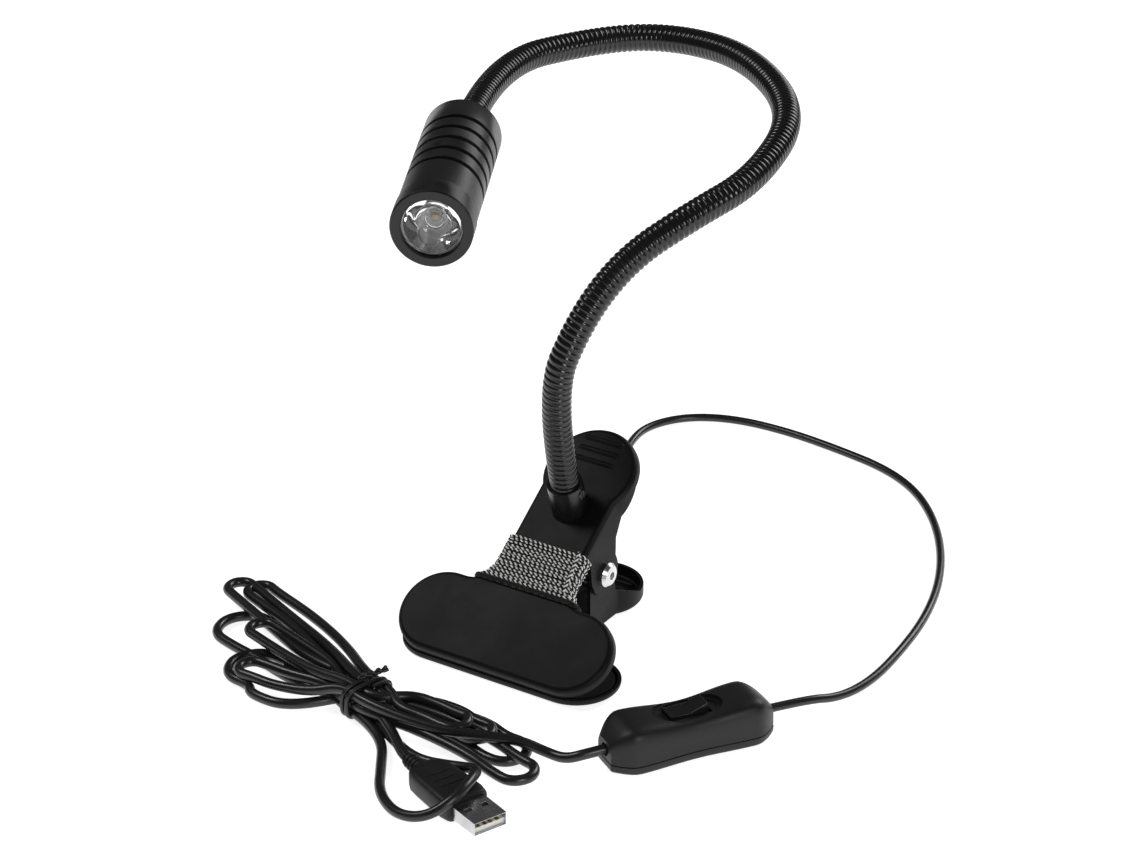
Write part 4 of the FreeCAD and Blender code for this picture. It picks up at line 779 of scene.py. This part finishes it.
def turned(name, outline, place, material, steps=96, eased=0.0):
    """A lathe piece from its half section in radius and height, closed on itself."""
    shape = bmesh.new()
    rings = []
    for radius, height in outline:
        angles = turns(steps) if radius > 0 else [0.0]
        spots = [Vector((radius * math.cos(turn), radius * math.sin(turn), height)) for turn in angles]
        rings.append([shape.verts.new(place @ spot * MM) for spot in spots])
    pairs = list(zip(rings, rings[1:]))
    if len(rings[0]) > 1:
        pairs.append((rings[-1], rings[0]))
    for under, over in pairs:
        for step in range(steps):
            after = (step + 1) % steps
            corners = [under[step % len(under)], under[after % len(under)], over[after % len(over)],
                       over[step % len(over)]]
            whole = list(dict.fromkeys(corners))
            if len(whole) > 2:
                shape.faces.new(whole)
    bmesh.ops.recalc_face_normals(shape, faces=shape.faces)
    mesh = bpy.data.meshes.new(name)
    settled(shape, mesh, TURNED_CREASE)
    mesh.materials.append(material)
    piece = placed(name, mesh)
    if eased:
        ease(piece, eased, TURNED_CREASE, 3)
    return piece


def lathe_rings(tree):
    """The fine rings that the lathe tool left round the head's axis."""
    along = node(tree, "ShaderNodeVectorMath", operation="DOT_PRODUCT")
    along.inputs[1].default_value = head_axis
    tree.links.new(node(tree, "ShaderNodeTexCoord").outputs["Object"], along.inputs[0])
    return node(tree, "ShaderNodeTexNoise", noise_dimensions="1D", W=along.outputs["Value"], Scale=9000.0,
                Detail=3.0).outputs["Fac"]


anodised = coated("black_anodised", (0.019, 0.019, 0.0195), (0.026, 0.026, 0.0265), 0.34, 0.42, 1500.0,
                  0.00001, 50.0, relief=lathe_rings, strength=0.5, Metallic=0.55, Specular_IOR_Level=0.5,
                  Anisotropic=0.6)
RING_BACK = HEAD_LENGTH - RING_LENGTH
GROOVE_FLOOR = HEAD_RADIUS - GROOVE_DEPTH
section = [(NECK_SEAT, 0), (HEAD_RADIUS - 1, 0), (HEAD_RADIUS - 0.3, 0.3), (HEAD_RADIUS, 1)]
for number in reversed(range(GROOVES)):
    low = FIRST_GROOVE - number * GROOVE_PITCH - GROOVE_WIDTH / 2
    high = FIRST_GROOVE - number * GROOVE_PITCH + GROOVE_WIDTH / 2
    section += [(HEAD_RADIUS, low), (GROOVE_FLOOR, low), (GROOVE_FLOOR, high), (HEAD_RADIUS, high)]
section += [(HEAD_RADIUS, RING_BACK - 0.02), (SPIGOT_RADIUS, RING_BACK - 0.02),
            (SPIGOT_RADIUS, RING_BACK + SPIGOT_LENGTH), (CHAMBER_RADIUS, RING_BACK + SPIGOT_LENGTH),
            (CHAMBER_RADIUS, CHAMBER_FLOOR), (WIRE_BORE, CHAMBER_FLOOR),
            (WIRE_BORE, SEAT_DEPTH), (NECK_SEAT, SEAT_DEPTH)]
stands_for(turned("head_shell", section, head_place, anodised, 128, 0.18), "head_body")
stands_for(turned("screwed_ring", [
    (RING_BORE, RING_BACK + 0.12), (RING_RADIUS, RING_BACK + 0.12), (RING_RADIUS, HEAD_LENGTH - 0.5),
    (RING_RADIUS - 0.5, HEAD_LENGTH), (WINDOW_RADIUS + 0.5, HEAD_LENGTH), (WINDOW_RADIUS, HEAD_LENGTH - 0.5),
    (WINDOW_RADIUS, LIP_BACK), (RING_BORE, LIP_BACK)], head_place, anodised, 128, 0.12), "front_ring")

clear_acrylic = new_material("clear_acrylic", Base_Color=(1, 1, 1, 1), Roughness=0.02, IOR=1.49,
                             Transmission_Weight=1.0)[0]
LENS_RADIUS = 10.5
LENS_RIM = 9.5
LENS_FOOT = 4.4
LENS_HOLLOW = 3.3
RIM_FOOT = LENS_TOP - 1.3
CURVE_STEPS = 10
lens_side = [(LENS_FOOT + (LENS_RIM - LENS_FOOT) * share ** 0.75, LENS_LOW + (RIM_FOOT - LENS_LOW) * share)
             for share in (step / CURVE_STEPS for step in range(CURVE_STEPS + 1))]
dimple = [(LENS_HOLLOW * math.sin(turn), LENS_LOW + 1.4 + 0.6 * math.cos(turn))
          for turn in (math.pi / 2 * step / 6 for step in range(1, 7))]
stands_for(turned("moulded_lens", [
    (0, LENS_LOW + 2), *dimple, (LENS_HOLLOW, LENS_LOW), *lens_side, (LENS_RADIUS, RIM_FOOT),
    (LENS_RADIUS, LENS_TOP), (7.0, LENS_TOP), (0, LENS_TOP)], head_place, clear_acrylic, 96), "lens")
ceramic = coated("white_ceramic", (0.70, 0.70, 0.68), (0.82, 0.82, 0.80), 0.35, 0.5, 1500, 0.00001)
phosphor = coated("yellow_phosphor", (0.62, 0.40, 0.06), (0.80, 0.56, 0.12), 0.35, 0.45, 4000, 0.00002)
holder_white = coated("holder_plastic", (0.62, 0.62, 0.61), (0.76, 0.76, 0.75), 0.25, 0.4, 900, 0.00002)
solder_mask = coated("solder_mask", (0.58, 0.58, 0.57), (0.72, 0.72, 0.71), 0.3, 0.4, 900, 0.00002)
CHIP_RADIUS = 3.4
CHIP_TOP = BOARD_FACE + 0.8
PHOSPHOR_RADIUS = 1.7


def dome_arc(radius, height, steps):
    return [(radius * math.cos(turn), CHIP_TOP + height * math.sin(turn))
            for turn in (math.pi / 2 * step / 10 for step in steps)]


package = turned("led_package", [(0, BOARD_FACE), (CHIP_RADIUS, BOARD_FACE), (CHIP_RADIUS, CHIP_TOP),
                                 (0, CHIP_TOP)], head_place, ceramic, 48, 0.1)
emitter = turned("led_emitter", [
    (0, CHIP_TOP), (PHOSPHOR_RADIUS, CHIP_TOP), (PHOSPHOR_RADIUS, CHIP_TOP + 0.35), (0, CHIP_TOP + 0.4)],
    head_place, phosphor, 48)
DOME_OUTSIDE = (2.6, 2.2)
DOME_INSIDE = (2.4, 2.0)
dome = turned("led_dome", [
    (DOME_OUTSIDE[0], CHIP_TOP), *dome_arc(*DOME_OUTSIDE, range(1, 10)), (0, CHIP_TOP + DOME_OUTSIDE[1]),
    (0, CHIP_TOP + DOME_INSIDE[1]), *dome_arc(*DOME_INSIDE, range(9, 0, -1)), (DOME_INSIDE[0], CHIP_TOP)],
    head_place, clear_acrylic, 48)
stands_for(joined("led", [package, emitter, dome]), "led_chip")
finished("lens_holder", holder_white, 0.15)
finished("led_board", solder_mask, 0.1)

# ---- inline switch --------------------------------------------------------------------------------
# Two moulded shells of fine-textured black plastic, waisted for the hand, screwed together from
# below. A polished rocker sits in a shallow oval dish in the top.
switch_matrix = Matrix.Translation(switch_centre) @ Matrix.Rotation(
    math.atan2(switch_along.y, switch_along.x), 4, "Z")
SWITCH_HALF = 29.0
SWITCH_SHOULDER = 21.0
SWITCH_SEAM = 3.4
SEAM_GAP = 0.25
moulded_black = coated("moulded_black", (0.0085, 0.0085, 0.0088), (0.0110, 0.0110, 0.0113), 0.42, 0.5, 2200,
                       0.00006, Specular_IOR_Level=0.34)
polished_black = coated("polished_black", (0.008, 0.008, 0.0085), (0.013, 0.013, 0.0135), 0.16, 0.28, 900,
                        0.00001, Specular_IOR_Level=0.5)


def waisted(along, full, waist, fall, power):
    """A size of the housing: drawn in at its middle, full at its shoulders, and falling past them."""
    if abs(along) < SWITCH_SHOULDER:
        return full - waist - waist * math.cos(math.pi * along / SWITCH_SHOULDER)
    past = (abs(along) - SWITCH_SHOULDER) / (SWITCH_HALF - SWITCH_SHOULDER)
    return full - fall * past ** power


def switch_width(along):
    return waisted(along, 10, 0.5, 5.2, 1.7)


def switch_top(along):
    return waisted(along, 15.5, 0.75, 5.6, 1.9)


def squared(value, power):
    """A sine or cosine drawn towards a square's, with its sign kept."""
    return math.copysign(abs(value) ** power, value)


def arch(along, half, low, high, squareness=5.0, steps=30):
    """An upright arch with soft shoulders, standing on a flat foot."""
    points = []
    for step in range(steps + 1):
        turn = math.pi * step / steps
        rise = math.sin(turn) ** (2 / squareness)
        across = half * squared(math.cos(turn), 2 / squareness)
        points.append(Vector((along, across, low + (high - low) * rise)))
    return points


def stations_between(first, last, count):
    """Places from first to last, closer together towards both ends."""
    return [(first + last) / 2 + (last - first) / 2 * math.sin(math.pi / 2 * (2 * step / count - 1))
            for step in range(count + 1)]


def cutter(name, points, low, high):
    """A straight-sided block over a closed outline."""
    return loft(name, [[switch_matrix @ Vector((x, y, level)) for x, y in points] for level in (low, high)],
                moulded_black, closed_ends=True)


def applied(piece):
    """The piece with its modifiers worked into its mesh."""
    mesh = plain_mesh(piece)
    piece.modifiers.clear()
    piece.data = mesh
    return piece


def carved(piece, *tools):
    """The piece with the tools cut out of it."""
    for tool in tools:
        cut = piece.modifiers.new("cut", "BOOLEAN")
        cut.operation = "DIFFERENCE"
        cut.object = tool
        cut.solver = "EXACT"
    applied(piece)
    for tool in tools:
        bpy.data.objects.remove(tool)
    shape = bmesh.new()
    shape.from_mesh(piece.data)
    bmesh.ops.remove_doubles(shape, verts=shape.verts, dist=WELD)
    settled(shape, piece.data, CREASE)
    return piece


def oval(half_long, half_wide, steps=48):
    return [(half_long * math.cos(turn), half_wide * math.sin(turn)) for turn in turns(steps)]


cover = loft("switch_cover_shell", [
    [switch_matrix @ point for point in arch(along, switch_width(along), SWITCH_SEAM, switch_top(along))]
    for along in stations_between(-SWITCH_HALF, SWITCH_HALF, 40)], moulded_black, closed_ends=True)
entries = []
for end in (-1, 1):
    rings = [[switch_matrix @ Vector((end * along, 2.3 * math.cos(turn), CORD_ENTRY + 2.3 * math.sin(turn)))
              for turn in turns(24)] for along in (SWITCH_HALF - 4, 40)]
    entries.append(loft(f"entry_{end}", rings, moulded_black, closed_ends=True))
carved(cover, cutter("dish", oval(12.2, 7.4), 13.6, 20), cutter("inner_dish", oval(10.4, 5.9), 13.15, 20),
       cutter("slot", [(-7.5, -3.5), (7.5, -3.5), (7.5, 3.5), (-7.5, 3.5)], 6, 20), *entries)
ease(cover, 0.55, CREASE, 4)
stands_for(cover, "switch_cover")
floor_loops = [(0.0, -1.1), (0.35, -0.45), (1.1, 0.0), (SWITCH_SEAM - SEAM_GAP, 0.12)]


def plan(level, inset):
    places = stations_between(-SWITCH_HALF, SWITCH_HALF, 36)
    longer = 1 + inset / SWITCH_HALF
    return [switch_matrix @ Vector((along * longer, -side * (switch_width(along) + inset), level))
            for side in (1, -1) for along in (places if side > 0 else reversed(places))]


base = loft("switch_base_shell", [plan(level, inset) for level, inset in floor_loops], moulded_black,
            closed_ends=True)
head_seats = [cutter(f"seat_{x}", [(x + px, y + py) for px, py in oval(2.15, 2.15, 32)], -1, 1.2)
              for x, y in ((-15, -5), (15, 5))]
carved(base, *head_seats)
ease(base, 0.2, CREASE, 3)
stands_for(base, "switch_base")
rocker = finished("rocker", polished_black, 0.22, segments=3)
switch_screws = finished("switch_screws", dark_plate, 0.15)
brass = coated("stamped_brass", (0.62, 0.42, 0.16), (0.78, 0.56, 0.24), 0.25, 0.4, 900, 0.00001, Metallic=1.0)
switch_terminals = finished("switch_terminals", brass, 0.06)
contact_bridge = finished("contact_bridge", brass, 0.06)
usb_contacts = finished("usb_contacts", brass, 0.06)

# ---- USB plug -------------------------------------------------------------------------------------
# A moulded black grip with a ribbed strain relief, a folded and nickel-plated steel shell with two
# windows, and a white carrier with four gold contacts.
GRIP_LENGTH = 26.0
RELIEF_LENGTH = 8.0
plug_matrix = Matrix.Translation(plug_front) @ Matrix.Rotation(math.atan2(plug_along.y, plug_along.x), 4, "Z")


def squared_ring(along, half_wide, low, high, squareness=6.0, steps=40):
    """A flattened, soft-cornered section across the plug."""
    middle, tall, power = (low + high) / 2, (high - low) / 2, 2 / squareness
    return [plug_matrix @ Vector((along, half_wide * squared(math.cos(turn), power),
                                  middle + tall * squared(math.sin(turn), power))) for turn in turns(steps)]


grip_sections = [(-26, 4.4, 1.4, 6.6), (-25.7, 4.9, 1.0, 7.0), (-24, 6.2, 0.45, 7.55), (-22, 7.1, 0.15, 7.85),
                 (-18, 7.4, 0, 8), (-10, 7.8, 0, 8), (-4, 8.0, 0, 8), (-1.2, 7.5, 0.1, 7.9),
                 (-0.3, 7.3, 0.3, 7.7), (0, 7.0, 0.6, 7.4)]
grip = loft("plug_grip_body", [squared_ring(*sizes) for sizes in grip_sections], moulded_black,
            closed_ends=True)
shell_room = loft("shell_room", [squared_ring(along, 6.05, 1.7, 6.3, 30.0) for along in (-3, 3)],
                  moulded_black, closed_ends=True)
carved(grip, shell_room)
ease(grip, 0.15, math.radians(40), 2)
relief_place = (plug_matrix @ Matrix.Translation((-GRIP_LENGTH + 0.5, 0, 4))
                @ Matrix.Rotation(-math.pi / 2, 4, "Y"))
RELIEF_RIBS = 4
relief_outline = [(USB_RADIUS, 0), (3.2, 0)]
for number in range(RELIEF_RIBS):
    near, radius = 0.6 + number * 1.9, 3.1 - number * 0.18
    relief_outline += [(radius, near), (radius, near + 1.1), (radius - 0.55, near + 1.25),
                       (radius - 0.6, near + 1.75)]
relief_outline += [(2.3, RELIEF_LENGTH + 0.4), (USB_RADIUS, RELIEF_LENGTH + 0.5)]
relief = turned("plug_relief", relief_outline, relief_place, moulded_black, 40, 0.12)
ridges = []
for number in range(3):
    for level in (0.02, 7.98):
        along = -16.5 + number * 3.6
        rings = [[plug_matrix @ Vector((along + place, reach * math.cos(turn), level + 0.25 * math.sin(turn)))
                  for turn in turns(12)]
                 for place, reach in ((-0.5, 0.02), (-0.35, 4.4), (0.35, 4.4), (0.5, 0.02))]
        ridges.append(loft(f"ridge_{number}_{level}", rings, moulded_black, closed_ends=True))
nickel = coated("nickel_shell", (0.50, 0.50, 0.51), (0.66, 0.66, 0.67), 0.18, 0.34, 900, 0.00001, 90,
                Metallic=1.0)
carrier = coated("white_carrier", (0.74, 0.74, 0.73), (0.84, 0.84, 0.83), 0.35, 0.5, 900, 0.00001)
usb_shell = finished("usb_shell", nickel, 0.12, segments=3)
usb_tongue = finished("usb_tongue", carrier, 0.1)


plug_body = joined("plug_body", [applied(grip), applied(relief), *ridges])
stands_for(plug_body, "plug_grip")

# ---- twist tie ------------------------------------------------------------------------------------
# A soft wire in a flat black plastic sleeve, wound twice round the bundle with its ends twisted up.
TIE_RADIUS = 0.75
tie_black = coated("tie_plastic", (0.010, 0.010, 0.0105), (0.018, 0.018, 0.0185), 0.34, 0.46, 900, 0.00004)


def in_bundle(along, across, level):
    return HANK_WAIST + HANK_ALONG * along + HANK_ACROSS * across + Vector((0, 0, level))


tie_line = []
TIE_TURNS = 2
TIE_STEPS = 36
for step in range(TIE_TURNS * TIE_STEPS + 1):
    turn = 2 * math.pi * step / TIE_STEPS + math.pi / 2
    across = squared(math.cos(turn), 0.62) * 8.3
    level = 6.4 + squared(math.sin(turn), 0.62) * 5.9
    slant = (step / (TIE_TURNS * TIE_STEPS) - 0.5) * 5 + 1.2 * math.sin(turn)
    tie_line.append(in_bundle(slant, across, max(level, TIE_RADIUS + 0.05)))
band = wire("tie_band_run", tie_line, TIE_RADIUS, tie_black, 3)
ends = []
for start in (0, math.pi):
    twist = [in_bundle(-2.2 + 0.9 * step / 3, -0.6 + 0.62 * step + 0.7 * math.cos(start + step * 0.9),
                       13.3 + 0.16 * step + 0.7 * math.sin(start + step * 0.9)) for step in range(14)]
    ends.append(wire(f"tie_end_{start:.0f}", twist, TIE_RADIUS * 0.85, tie_black, 3))
tie = joined("twist_tie", [band, *ends])
stands_for(tie, "hank_tie")

# ---- leads inside the neck ------------------------------------------------------------------------
# The same PVC lead runs on through the gooseneck to the LED board, out of sight. It is in ten
# lengths, one in each stretch of the hose.
for number in range(NECK_LENGTHS):
    finished(f"neck_lead_{number}", cord_jacket, 0)

# ---- stage --------------------------------------------------------------------------------------
# A white table and wide soft lights, as in a small product studio.
FLOOR_REACH = 4
FLOOR_LEVEL = -0.0003
FLOOR_GLOW = 0.85
BACKDROP_LIGHT = 1.0
CEILING_LIGHT = 0.08
LIGHTS = (("key", (-0.9, -0.3, 1.3), 0.45, 6.5), ("fill", (1.5, -0.8, 0.7), 0.5, 9),
          ("rim", (0.3, 1.5, 0.9), 0.8, 10))
floor_mesh = bpy.data.meshes.new("floor")
floor_mesh.from_pydata([(x * FLOOR_REACH, y * FLOOR_REACH, FLOOR_LEVEL)
                        for x, y in ((-1, -1), (1, -1), (1, 1), (-1, 1))], [], [(0, 1, 2, 3)])
floor = placed("floor", floor_mesh)
floor_mesh.materials.append(new_material("table_white", Base_Color=(0.9, 0.9, 0.9, 1), Roughness=0.6,
                                         Emission_Color=(1, 1, 1, 1), Emission_Strength=FLOOR_GLOW)[0])
world = bpy.data.worlds.new("studio")
world.use_nodes = True
sky = world.node_tree
backdrop = feed(sky.nodes["Background"], Color=(1, 1, 1, 1), Strength=BACKDROP_LIGHT)
ceiling = node(sky, "ShaderNodeBackground", Color=(0.97, 0.98, 1, 1), Strength=CEILING_LIGHT)
seen = node(sky, "ShaderNodeLightPath")
chosen = node(sky, "ShaderNodeMixShader", Fac=seen.outputs["Is Camera Ray"])
sky.links.new(ceiling.outputs["Background"], chosen.inputs[1])
sky.links.new(backdrop.outputs["Background"], chosen.inputs[2])
feed(sky.nodes["World Output"], Surface=chosen.outputs["Shader"])
bpy.context.scene.world = world
bpy.context.scene.view_settings.view_transform = "Standard"
for name, place, width, power in LIGHTS:
    light_data = bpy.data.lights.new(name, "AREA")
    light_data.size = width
    light_data.energy = power
    light = placed(name, light_data)
    light.location = place
    light.rotation_euler = (Vector((0, 0.03, 0.08)) - light.location).to_track_quat("-Z", "Y").to_euler()
